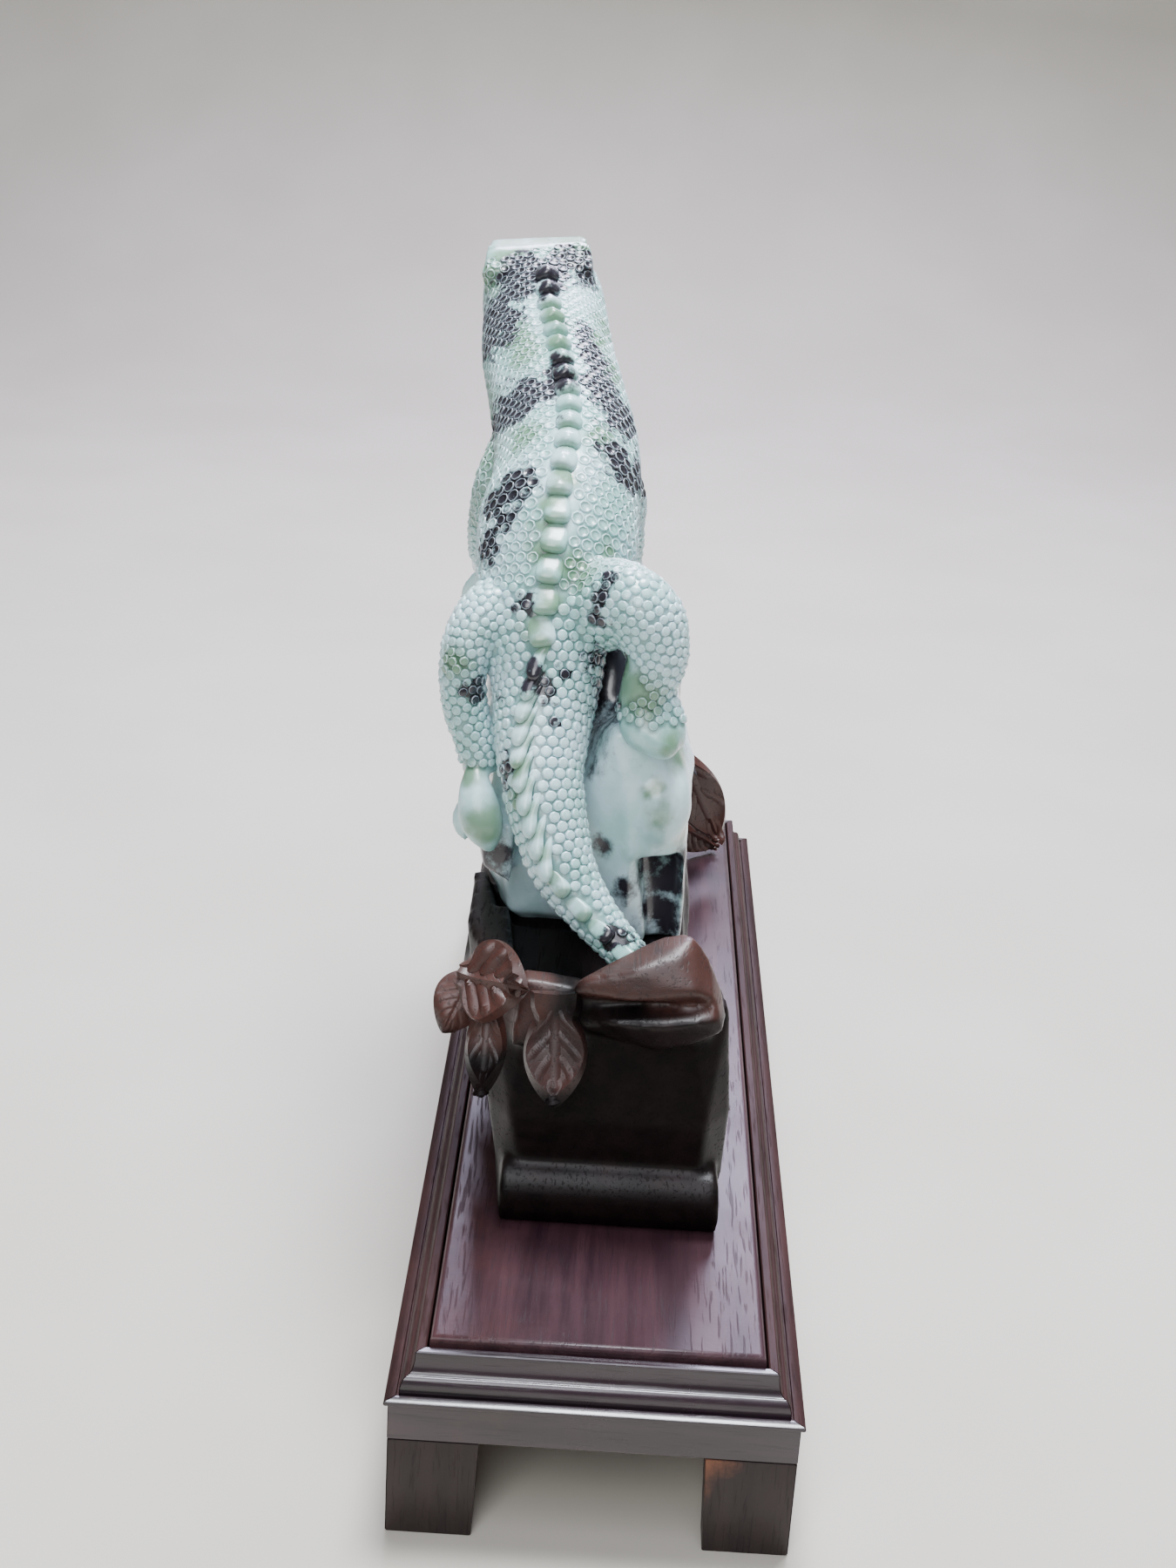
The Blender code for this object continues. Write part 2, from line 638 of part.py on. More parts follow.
def rock_low_points(clearance=0.0):
    """The rock's lowest part, in millimetres, or with a clearance the hollow that takes it."""
    rows = (
        (98 - clearance, [(-28, -52), (8, -54), (13, 0), (13, 70), (2, 100), (-24, 100), (-34, 70),
                          (-34, -20)]),
        (118, [(-34, -60), (8, -64), (15, -50), (16, 10), (15, 76), (4, 106), (-28, 106), (-38, 74),
               (-37, -30)]),
        (132, [(-33, -56), (4, -62), (14, -52), (15, 20), (10, 84), (-30, 88), (-38, 10)]),
    )
    middle = Vector((-11, 20))
    points = []
    for level, outline in rows:
        for corner in outline:
            away = Vector(corner) - middle
            points.append((*(middle + away + away.normalized() * clearance), level))
    return points


def jade_carving():
    """The lizard's body, its limbs and the rock under it, joined into one stone."""
    rock_low = hull(rock_low_points())
    rock_mid = hull(
        [(x, y, 122) for x, y in ((-33, -54), (4, -60), (14, -50), (14, 74), (-36, 74), (-38, -20))]
        + [(x, y, 146) for x, y in ((-4, -57), (13, -52), (13, 40), (4, 70), (-32, 70), (-38, 20),
                                    (-36, -40), (-24, -48))]
        + [(x, y, 160) for x, y in ((-2, -30), (4, 30), (-6, 56), (-34, 54), (-36, -10), (-30, -30))]
    )
    rock_high = hull(
        [(x, y, 150) for x, y in ((2, -26), (7, 30), (2, 60), (-36, 62), (-42, 20), (-38, -20))]
        + [(x, y, 166) for x, y in ((1, 8), (2, 34), (-6, 54), (-36, 56), (-43, 30), (-42, 8))]
        + [(x, y, 186) for x, y in ((-10, -6), (-9, 40), (-16, 52), (-34, 52), (-36, 40), (-36, -4))]
        + [(x, y, 205) for x, y in ((-16, 14), (-16, 40), (-34, 42), (-34, 14))]
    )
    jade = solid("jade_carving", loft(SPINE, 18), "jade", smooth_angle=50)
    forms = {"crown": hull(CROWN), "rock_low": rock_low, "rock_mid": rock_mid, "rock_high": rock_high}
    for name, bm in forms.items():
        boolean(jade, helper("jade_" + name, bm), "UNION")
    plug = helper("jade_plug", seat(0.0, SEAT_FLOOR + FIT_GAP))
    boolean(jade, plug, "UNION")
    for name, stations in LIMBS.items():
        boolean(jade, helper("jade_" + name, loft(stations, 12)), "UNION")
    for name, (centre, radii, turn) in FEET.items():
        boolean(jade, helper("jade_" + name, sphere_at(centre, radii, turn)), "UNION")
    return jade


clear_scene()
PARTS = collection("jade_figurine")
HELPERS = collection("cutters_and_joined_shapes")
made_rails = frame_rails()
made_panel = top_panel()
cross_battens()
feet(made_rails)
made_mount = carved_mount()
mount_screws(made_panel, made_mount)
jade_carving()
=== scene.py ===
"""A jade lizard climbing its rock, in a carved rosewood mount on a moulded rosewood base.

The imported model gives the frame, in metres: +Y runs along the base towards the lizard's head, +X is on the right
as seen from the tail, and +Z is up. This script makes the fine surface of the stone, of the carved mount and of the
base, and dresses the hidden joinery. Sizes and places in the classes are in millimetres unless a class says metres.
"""

from __future__ import annotations

import logging
import math
import random
from collections.abc import Callable, Iterable, Sequence
from dataclasses import dataclass, field
from enum import Enum

import bmesh
import bpy
from mathutils import Matrix, Vector, noise
from mathutils.bvhtree import BVHTree
from mathutils.kdtree import KDTree


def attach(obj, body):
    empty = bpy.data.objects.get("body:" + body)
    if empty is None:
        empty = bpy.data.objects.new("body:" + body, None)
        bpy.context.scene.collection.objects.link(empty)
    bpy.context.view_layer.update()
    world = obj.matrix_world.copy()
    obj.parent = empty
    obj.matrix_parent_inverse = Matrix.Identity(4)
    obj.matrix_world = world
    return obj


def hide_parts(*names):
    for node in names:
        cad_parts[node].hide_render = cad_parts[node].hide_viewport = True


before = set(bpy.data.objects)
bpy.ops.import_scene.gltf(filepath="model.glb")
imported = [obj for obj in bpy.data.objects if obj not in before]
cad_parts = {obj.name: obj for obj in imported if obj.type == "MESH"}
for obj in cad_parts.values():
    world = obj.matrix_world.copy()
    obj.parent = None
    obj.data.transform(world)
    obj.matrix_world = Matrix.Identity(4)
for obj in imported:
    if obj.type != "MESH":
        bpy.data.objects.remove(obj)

LOG = logging.getLogger("jade_lizard")
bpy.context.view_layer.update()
MM = 0.001
BODY = "root"
SEED = 11
# Staggered rows lie this many pitches apart.
ROW_GAP = 0.866

Row = tuple[float, ...]
Colour = tuple[float, float, float, float]


class Attribute(Enum):
    """Per-point values that the finishes read from a piece's mesh."""

    CHARCOAL = "charcoal"
    GREEN = "green"
    RIM = "rim"
    # Painted shade between the scales and in the notches under the crest's plates.
    GROOVE_SHADE = "groove"
    # Wear, and on the mount a painted sheen band, which redden the wood and raise its shine.
    WORN_AND_SHEEN = "worn"


# Modelling helpers.


def ease(low: float, high: float, value: float) -> float:
    """A smooth step from 0 at low to 1 at high.

    Args:
        low: Where the step starts.
        high: Where it ends; it may be less than low.
        value: Where to read it.

    Returns:
        A number from 0 to 1.
    """
    t = min(1.0, max(0.0, (value - low) / (high - low)))
    return t * t * (3 - 2 * t)


def smooth_rows(rows: Sequence[Row], count: int) -> list[Row]:
    """Reads a Catmull-Rom curve through rows of numbers.

    Args:
        rows: The rows the curve passes through, all of one length.
        count: How many rows to return.

    Returns:
        Rows spread evenly along the curve's own parameter.
    """
    padded = [rows[0], *rows, rows[-1]]
    made = []
    for step in range(count):
        place = step / (count - 1) * (len(rows) - 1)
        i = min(int(place), len(rows) - 2)
        t = place - i
        a, b, c, d = padded[i : i + 4]
        made.append(
            tuple(
                0.5
                * (2 * q + (r - p) * t + (2 * p - 5 * q + 4 * r - s) * t**2 + (3 * q - p - 3 * r + s) * t**3)
                for p, q, r, s in zip(a, b, c, d)
            )
        )
    return made


@dataclass
class Station:
    """A cross-section of the trunk or tail: its centre, axes, half width and half height, in millimetres."""

    centre: Vector
    along: Vector
    side: Vector
    up: Vector
    width: float
    height: float

    def rim(self, angle: float) -> Vector:
        """The point of the section at an angle from the top, positive towards its right side."""
        return self.centre + self.side * self.width * math.sin(angle) + self.up * self.height * math.cos(angle)


def stations(rows: Sequence[Row], count: int) -> list[Station]:
    """Cross-sections along a smooth route of (x, y, z, half width, half height).

    Args:
        rows: The route's rows.
        count: How many sections to read.

    Returns:
        The sections, from the first row to the last.
    """
    smooth = smooth_rows(rows, count)
    made = []
    for i, row in enumerate(smooth):
        along = (Vector(smooth[min(i + 1, count - 1)][:3]) - Vector(smooth[max(i - 1, 0)][:3])).normalized()
        side = (Vector((1, 0, 0)) - along * along.x).normalized()
        made.append(Station(Vector(row[:3]), along, side, side.cross(along), row[3], row[4]))
    return made


def point_tree(points: Sequence[Vector]) -> KDTree:
    """A search tree over points.

    Args:
        points: The points, which keep their indices.

    Returns:
        The balanced tree.
    """
    tree = KDTree(len(points))
    for i, point in enumerate(points):
        tree.insert(point, i)
    tree.balance()
    return tree


def lofted(rows: Sequence[Row], sides: int, count: int) -> bmesh.types.BMesh:
    """A closed tube along a smooth route.

    Args:
        rows: Stations of (x, y, z, half width, half height) in millimetres.
        sides: Points round the tube.
        count: Rings along it.

    Returns:
        The tube, in metres.
    """
    bm = bmesh.new()
    sections = stations(rows, count)
    rings = []
    for i, here in enumerate(sections):
        turn = Matrix((here.side, here.up, here.along)).transposed().to_4x4()
        size = Matrix.Diagonal((max(here.width, 0.05) * MM, max(here.height, 0.05) * MM, 1.0, 1.0))
        ring = bmesh.ops.create_circle(
            bm,
            cap_ends=i in (0, count - 1),
            segments=sides,
            radius=1.0,
            matrix=Matrix.Translation(here.centre * MM) @ turn @ size,
        )
        rings.append(list({edge for vert in ring["verts"] for edge in vert.link_edges}))
    for first, second in zip(rings, rings[1:]):
        bmesh.ops.bridge_loops(bm, edges=first + second)
    bmesh.ops.recalc_face_normals(bm, faces=bm.faces)
    return bm


def hull(points: Iterable[Row]) -> bmesh.types.BMesh:
    """The convex solid round points.

    Args:
        points: Places in millimetres; those inside the solid are dropped.

    Returns:
        The solid, in metres.
    """
    bm = bmesh.new()
    for point in points:
        bm.verts.new(Vector(point) * MM)
    made = bmesh.ops.convex_hull(bm, input=bm.verts)
    inside = [item for item in made["geom_interior"] if isinstance(item, bmesh.types.BMVert)]
    bmesh.ops.delete(bm, geom=inside, context="VERTS")
    return bm


def blob(centre: Row, radii: Row, turn: Row = (0, 0, 0)) -> bmesh.types.BMesh:
    """A turned ellipsoid.

    Args:
        centre: Its centre, in millimetres.
        radii: Its half sizes, in millimetres.
        turn: Degrees about X, then Y, then Z.

    Returns:
        The ellipsoid, in metres.
    """
    bm = bmesh.new()
    place = Matrix.Translation(Vector(centre) * MM)
    for axis, angle in zip("XYZ", turn):
        place = place @ Matrix.Rotation(math.radians(angle), 4, axis)
    size = Matrix.Diagonal((*(radius * MM for radius in radii), 1.0))
    bmesh.ops.create_uvsphere(bm, u_segments=24, v_segments=16, radius=1.0, matrix=place @ size)
    return bm


def block(size: Row, centre: Row) -> bmesh.types.BMesh:
    """A box about its centre.

    Args:
        size: Its size, in metres.
        centre: Its centre, in metres.

    Returns:
        The box.
    """
    bm = bmesh.new()
    place = Matrix.Translation(centre) @ Matrix.Diagonal((*size, 1.0))
    bmesh.ops.create_cube(bm, size=1.0, matrix=place)
    return bm


def joined(shapes: Iterable[bmesh.types.BMesh]) -> bmesh.types.BMesh:
    """Several shapes in one mesh.

    Args:
        shapes: The shapes; they are freed.

    Returns:
        The mesh that holds them all.
    """
    whole = bmesh.new()
    for shape in shapes:
        part = bpy.data.meshes.new("part")
        shape.to_mesh(part)
        shape.free()
        whole.from_mesh(part)
        bpy.data.meshes.remove(part)
    return whole


def stamped(template: bpy.types.Mesh, places: Iterable[Matrix]) -> bmesh.types.BMesh:
    """Copies of one small mesh.

    Args:
        template: The mesh to copy.
        places: Where each copy goes.

    Returns:
        One mesh of all the copies, in the order of the places.
    """
    whole = bmesh.new()
    for place in places:
        copy = template.copy()
        copy.transform(place)
        whole.from_mesh(copy)
        bpy.data.meshes.remove(copy)
    return whole


def evaluated(bm: bmesh.types.BMesh, dress: Callable[[bpy.types.Object], None]) -> bmesh.types.BMesh:
    """Runs modifiers over a mesh.

    Args:
        bm: The mesh; it is freed.
        dress: Adds the modifiers to a passing object that holds the mesh.

    Returns:
        The mesh that the modifiers make.
    """
    mesh = bpy.data.meshes.new("passing")
    bm.to_mesh(mesh)
    bm.free()
    passing = bpy.data.objects.new("passing", mesh)
    bpy.context.scene.collection.objects.link(passing)
    dress(passing)
    depsgraph = bpy.context.evaluated_depsgraph_get()
    made = bpy.data.meshes.new_from_object(passing.evaluated_get(depsgraph), depsgraph=depsgraph)
    whole = bmesh.new()
    whole.from_mesh(made)
    bpy.data.objects.remove(passing)
    bpy.data.meshes.remove(mesh)
    bpy.data.meshes.remove(made)
    return whole


def melted(passing: bpy.types.Object, name: str, voxel: float) -> None:
    """Adds a voxel remesh to an object.

    Args:
        passing: The object.
        name: The modifier's name.
        voxel: Size of its cells, in metres.
    """
    melt = passing.modifiers.new(name, "REMESH")
    melt.mode = "VOXEL"
    melt.voxel_size = voxel


def softened(passing: bpy.types.Object, rounds: int) -> None:
    """Adds smoothing to an object.

    Args:
        passing: The object.
        rounds: How many times it is smoothed.
    """
    soften = passing.modifiers.new("soften", "SMOOTH")
    soften.iterations = rounds
    soften.factor = 0.5


def fused(shapes: Iterable[bmesh.types.BMesh], voxel: float, rounds: int) -> bmesh.types.BMesh:
    """Melts overlapping closed shapes into one skin, as a carver rounds one form into the next.

    Args:
        shapes: The overlapping shapes; they are freed.
        voxel: Size of the skin's cells, in metres.
        rounds: How many times the skin is smoothed.

    Returns:
        One closed skin.
    """

    def remesh(passing: bpy.types.Object) -> None:
        """Adds the melting and the smoothing."""
        melted(passing, "melt", voxel)
        softened(passing, rounds)

    return evaluated(joined(shapes), remesh)


def hollowed(
    shapes: Iterable[bmesh.types.BMesh], hollow: bmesh.types.BMesh, voxel: float, rounds: int
) -> bmesh.types.BMesh:
    """Melts overlapping closed shapes into one skin and cuts a hollow from it.

    Args:
        shapes: The overlapping shapes; they are freed.
        hollow: The shape to cut away; it is freed.
        voxel: Size of the skin's cells, in metres.
        rounds: How many times the skin is smoothed after the cut.

    Returns:
        One closed skin.
    """
    held = bpy.data.meshes.new("hollow")
    hollow.to_mesh(held)
    hollow.free()
    cutter = bpy.data.objects.new("hollow", held)
    bpy.context.scene.collection.objects.link(cutter)

    def carve(passing: bpy.types.Object) -> None:
        """Adds the melting, the cut and the smoothing.

        Args:
            passing: The object that holds the shapes.
        """
        melted(passing, "melt", voxel)
        cut = passing.modifiers.new("hollow", "BOOLEAN")
        cut.operation = "DIFFERENCE"
        cut.solver = "EXACT"
        cut.object = cutter
        melted(passing, "even", voxel)
        softened(passing, rounds)

    carved = evaluated(joined(shapes), carve)
    bpy.data.objects.remove(cutter)
    bpy.data.meshes.remove(held)
    return carved


def smoothed(bm: bmesh.types.BMesh, verts: Sequence[bmesh.types.BMVert]) -> None:
    """Smooths some points of a mesh once."""
    bmesh.ops.smooth_vert(bm, verts=verts, factor=0.5, use_axis_x=True, use_axis_y=True, use_axis_z=True)


def displaced(bm: bmesh.types.BMesh, height: Callable[[Vector], float]) -> None:
    """Moves each point along its normal.

    Args:
        bm: The mesh to change.
        height: Gives the move in millimetres from a point's place in millimetres.
    """
    bm.normal_update()
    moves = [(vert, vert.normal.copy() * height(vert.co / MM) * MM) for vert in bm.verts]
    for vert, move in moves:
        vert.co += move


def painted(bm: bmesh.types.BMesh, attribute: Attribute, value: Callable[[Vector], float]) -> None:
    """Stores a value on each point.

    Args:
        bm: The mesh to change.
        attribute: What the value stands for.
        value: Gives it from a point's place in millimetres.
    """
    layer = bm.verts.layers.float.get(attribute.value) or bm.verts.layers.float.new(attribute.value)
    for vert in bm.verts:
        vert[layer] = value(vert.co / MM)


def piece(
    name: str,
    bm: bmesh.types.BMesh,
    finish: bpy.types.Material,
    nodes: Sequence[str],
    sharp: float = 180.0,
) -> bpy.types.Object:
    """Turns a finished mesh into a piece that rides on the body.

    Args:
        name: The piece's name.
        bm: Its mesh, already in place; it is freed.
        finish: Its material.
        nodes: The CAD nodes it stands for.
        sharp: Edges bent more than this many degrees stay sharp.

    Returns:
        The new object.
    """
    mesh = bpy.data.meshes.new(name)
    bm.to_mesh(mesh)
    bm.free()
    mesh.materials.append(finish)
    mesh.shade_smooth()
    if sharp < 180.0:
        mesh.set_sharp_from_angle(angle=math.radians(sharp))
    made = bpy.data.objects.new(name, mesh)
    bpy.context.scene.collection.objects.link(made)
    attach(made, BODY)
    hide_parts(*nodes)
    return made


# Finishes.


class Graph:
    """A node tree while it is being wired."""

    def __init__(self, tree: bpy.types.NodeTree) -> None:
        """Keeps the tree."""
        self.tree = tree

    def add(self, kind: str, settings: dict | None = None, **inputs: object) -> bpy.types.Node:
        """Adds a node.

        Args:
            kind: The node's type, without ShaderNode in front of it.
            settings: Properties of the node, by name.
            **inputs: Its sockets by name, with underscores for spaces, or by _N for socket N. Each gets an output
                to link or a value.

        Returns:
            The node.
        """
        node = self.tree.nodes.new("ShaderNode" + kind)
        for name, value in (settings or {}).items():
            setattr(node, name, value)
        for name, value in inputs.items():
            key = int(name[1:]) if name.startswith("_") else name.replace("_", " ")
            self.feed(node.inputs[key], value)
        return node

    def feed(self, socket: bpy.types.NodeSocket, value: object) -> None:
        """Links an output to a socket, or sets the socket's value.

        Args:
            socket: The input to feed.
            value: An output, or a value.
        """
        if isinstance(value, bpy.types.NodeSocket):
            self.tree.links.new(value, socket)
        else:
            socket.default_value = value

    def sum(self, operation: str, first: object, second: object = 0.0, third: object = 0.0) -> bpy.types.NodeSocket:
        """The result of one step of arithmetic on up to three values."""
        return self.add("Math", {"operation": operation}, _0=first, _1=second, _2=third).outputs[0]

    def ramp(self, value: object, low: float, high: float) -> bpy.types.NodeSocket:
        """A smooth step of a value.

        Args:
            value: The output to read.
            low: Where the step is 0.
            high: Where it is 1; it may be less than low.

        Returns:
            The step's output.
        """
        return self.add(
            "MapRange",
            {"interpolation_type": "SMOOTHSTEP"},
            Value=value,
            From_Min=low,
            From_Max=high,
        ).outputs[0]

    def blend(self, amount: object, first: object, second: object, mode: str = "MIX") -> bpy.types.NodeSocket:
        """A mix of two colours.

        Args:
            amount: How much of the second colour shows.
            first: The colour at 0.
            second: The colour at 1.
            mode: How the two are blended.

        Returns:
            The mixed colour's output.
        """
        return self.add(
            "Mix", {"data_type": "RGBA", "blend_type": mode}, _0=amount, _6=first, _7=second
        ).outputs[2]

    def noise(self, place: object, scale: float, detail: float, roughness: float = 0.5) -> bpy.types.NodeSocket:
        """Cloudy noise.

        Args:
            place: Where it is read.
            scale: How fine it is.
            detail: How many layers it has.
            roughness: How strong the finer layers are.

        Returns:
            An output from 0 to 1.
        """
        return self.add(
            "TexNoise", Vector=place, Scale=scale, Detail=detail, Roughness=roughness
        ).outputs["Fac"]

    def stored(self, attribute: Attribute) -> bpy.types.NodeSocket:
        """A value stored on the mesh."""
        node = self.add("Attribute", {"attribute_name": attribute.value})
        return node.outputs["Fac"]


def new_group(name: str, inputs: dict[str, tuple[str, object]], outputs: dict[str, str]) -> bpy.types.NodeTree:
    """An empty shader node group.

    Args:
        name: The group's name.
        inputs: Socket kind and default value, by name.
        outputs: Socket kind by name.

    Returns:
        The group, with an input and an output node.
    """
    group = bpy.data.node_groups.new(name, "ShaderNodeTree")
    for socket, (kind, value) in inputs.items():
        made = group.interface.new_socket(socket, in_out="INPUT", socket_type=kind)
        if value is not None:
            made.default_value = value
    for socket, kind in outputs.items():
        group.interface.new_socket(socket, in_out="OUTPUT", socket_type=kind)
    return group


def relief_group() -> bpy.types.NodeTree:
    """Fine tool marks and handling scratches, shared by stone, wood and steel.

    Returns:
        The group, which puts out a height and a roughness; it is built once.
    """
    group = bpy.data.node_groups.get("fine_relief")
    if group:
        return group
    group = new_group(
        "fine_relief",
        {
            "Place": ("NodeSocketVector", None),
            "Scale": ("NodeSocketFloat", 1.0),
            "Roughness": ("NodeSocketFloat", 0.3),
            "Spread": ("NodeSocketFloat", 0.1),
        },
        {"Height": "NodeSocketFloat", "Roughness": "NodeSocketFloat"},
    )
    graph = Graph(group)
    given = group.nodes.new("NodeGroupInput")
    result = group.nodes.new("NodeGroupOutput")
    place = graph.add("VectorMath", {"operation": "SCALE"}, _0=given.outputs["Place"])
    graph.feed(place.inputs["Scale"], given.outputs["Scale"])
    broad = graph.noise(place.outputs[0], 180.0, 3.0)
    fine = graph.noise(place.outputs[0], 900.0, 2.0)
    height = graph.sum("MULTIPLY_ADD", fine, 0.35, broad)
    patchy = graph.noise(place.outputs[0], 55.0, 4.0)
    uneven = graph.sum("SUBTRACT", patchy, 0.5)
    roughness = graph.sum("MULTIPLY_ADD", uneven, given.outputs["Spread"], given.outputs["Roughness"])
    graph.feed(result.inputs["Height"], height)
    graph.feed(result.inputs["Roughness"], roughness)
    return group


class Grain(Enum):
    """Which way a board's grain runs."""

    ALONG_X = (0.06, 1.0, 1.0)
    ALONG_Y = (1.0, 0.06, 1.0)
    ALONG_Z = (1.0, 1.0, 0.06)


def grain_group() -> bpy.types.NodeTree:
    """Dark streaks and open pores of wood, stretched along its grain.

    Returns:
        The group, which puts out one mask for each; it is built once.
    """
    group = bpy.data.node_groups.get("rosewood_grain")
    if group:
        return group
    group = new_group(
        "rosewood_grain",
        {"Place": ("NodeSocketVector", None), "Stretch": ("NodeSocketVector", (1.0, 0.06, 1.0))},
        {"Streaks": "NodeSocketFloat", "Pores": "NodeSocketFloat"},
    )
    graph = Graph(group)
    given = group.nodes.new("NodeGroupInput")
    result = group.nodes.new("NodeGroupOutput")
    place = graph.add("VectorMath", {"operation": "MULTIPLY"}, _0=given.outputs["Place"], _1=given.outputs["Stretch"])
    sway = graph.add("TexNoise", Vector=place.outputs[0], Scale=40.0, Detail=2.0)
    swayed = graph.add("VectorMath", {"operation": "MULTIPLY_ADD"}, _0=sway.outputs["Color"], _1=(0.012,) * 3,
                       _2=place.outputs[0])
    streaks = graph.noise(swayed.outputs[0], 190.0, 5.0, 0.62)
    graph.feed(result.inputs["Streaks"], graph.ramp(streaks, 0.33, 0.68))
    pores = graph.noise(swayed.outputs[0], 1500.0, 2.0)
    graph.feed(result.inputs["Pores"], graph.ramp(pores, 0.56, 0.68))
    return group


def surface(name: str) -> tuple[bpy.types.Material, Graph, bpy.types.Node]:
    """A new material.

    Args:
        name: Its name.

    Returns:
        The material, its wiring and its shader.
    """
    made = bpy.data.materials.new(name)
    made.use_nodes = True
    graph = Graph(made.node_tree)
    return made, graph, made.node_tree.nodes["Principled BSDF"]


def bumped(graph: Graph, shader: bpy.types.Node, height: object, strength: float, distance: float) -> None:
    """Feeds a height through a bump into the shader.

    Args:
        graph: The material's wiring.
        shader: The shader to feed.
        height: The height's output.
        strength: How much of the bump shows.
        distance: The height's size, in metres.
    """
    bump = graph.add("Bump", Height=height)
    bump.inputs["Strength"].default_value = strength
    bump.inputs["Distance"].default_value = distance
    graph.feed(shader.inputs["Normal"], bump.outputs[0])


@dataclass(frozen=True)
class JadeFinish:
    """Polished mottled stone: white and mint clouds, green veins and charcoal patches, with painted shade between and
    inside the scales and painted highlights on their rims.
    """

    name: str
    white: Colour = (0.58, 0.80, 0.85, 1)
    mint: Colour = (0.27, 0.54, 0.49, 1)
    green: Colour = (0.12, 0.25, 0.12, 1)
    charcoal: Colour = (0.022, 0.020, 0.029, 1)
    # Colour of the painted highlight on the scales' raised rims.
    rim: Colour = (0.68, 0.84, 0.95, 1)
    # Colour of the painted shade between the scales, in the crest's notches and in each scale's ring.
    groove: Colour = (0.22, 0.34, 0.30, 1)
    roughness: float = 0.27
    clouding: float = 0.0
    patch_edge: float = 0.12

    def material(self) -> bpy.types.Material:
        """Builds the material.

        Returns:
            The new material.
        """
        made, graph, shader = surface(self.name)
        place = graph.add("TexCoord").outputs["Object"]
        clouds = graph.ramp(graph.noise(place, 42.0, 6.0, 0.62), 0.38 + self.clouding, 0.60 + self.clouding)
        colour = graph.blend(graph.sum("MULTIPLY_ADD", clouds, 0.75, 0.2), self.mint, self.white)
        wisps = graph.ramp(graph.noise(place, 170.0, 6.0, 0.7), 0.46, 0.66)
        colour = graph.blend(graph.sum("MULTIPLY", wisps, 0.45), colour, self.white)
        green = graph.stored(Attribute.GREEN)
        veins = graph.noise(place, 85.0, 6.0, 0.65)
        green_mask = graph.ramp(graph.sum("ADD", green, graph.sum("MULTIPLY", veins, 1.0)), 0.62, 1.25)
        colour = graph.blend(graph.sum("MULTIPLY", green_mask, 0.85), colour, self.green)
        charcoal = graph.stored(Attribute.CHARCOAL)
        speckle = graph.noise(place, 260.0, 5.0, 0.7)
        dark_mask = graph.ramp(
            graph.sum("ADD", charcoal, graph.sum("MULTIPLY", graph.sum("SUBTRACT", speckle, 0.5), 1.3)),
            0.5 - self.patch_edge,
            0.5 + self.patch_edge,
        )
        colour = graph.blend(dark_mask, colour, self.charcoal)
        # Painted shade: the skin between scales and the notches between crest plates are darkened towards the groove
        # colour.
        groove = graph.stored(Attribute.GROOVE_SHADE)
        colour = graph.blend(graph.sum("MULTIPLY", groove, 0.8), colour, self.groove, "MULTIPLY")
        # Painted shade in each scale's ring and hollow, where rim values are low, and a painted highlight on its
        # raised rim, stronger on charcoal stone.
        raised = graph.stored(Attribute.RIM)
        hollow = graph.ramp(raised, 0.4, 0.0)
        colour = graph.blend(graph.sum("MULTIPLY", hollow, 0.55), colour, self.groove, "MULTIPLY")
        rim = graph.ramp(raised, 0.62, 0.98)
        rim_highlight_strength = graph.sum("MULTIPLY_ADD", dark_mask, -0.24, 0.58)
        colour = graph.blend(graph.sum("MULTIPLY", rim, rim_highlight_strength), colour, self.rim)
        graph.feed(shader.inputs["Base Color"], colour)
        relief = graph.add("Group", {"node_tree": relief_group()}, Place=place, Roughness=self.roughness, Spread=0.25)
        graph.feed(shader.inputs["Roughness"], relief.outputs["Roughness"])
        bumped(graph, shader, relief.outputs["Height"], 0.25, 0.0003)
        shader.inputs["IOR"].default_value = 1.62
        shader.inputs["Subsurface Weight"].default_value = 0.35
        shader.inputs["Subsurface Radius"].default_value = (1.0, 1.25, 1.05)
        shader.inputs["Subsurface Scale"].default_value = 0.0008
        shader.inputs["Coat Weight"].default_value = 0.25
        shader.inputs["Coat Roughness"].default_value = 0.12
        return made


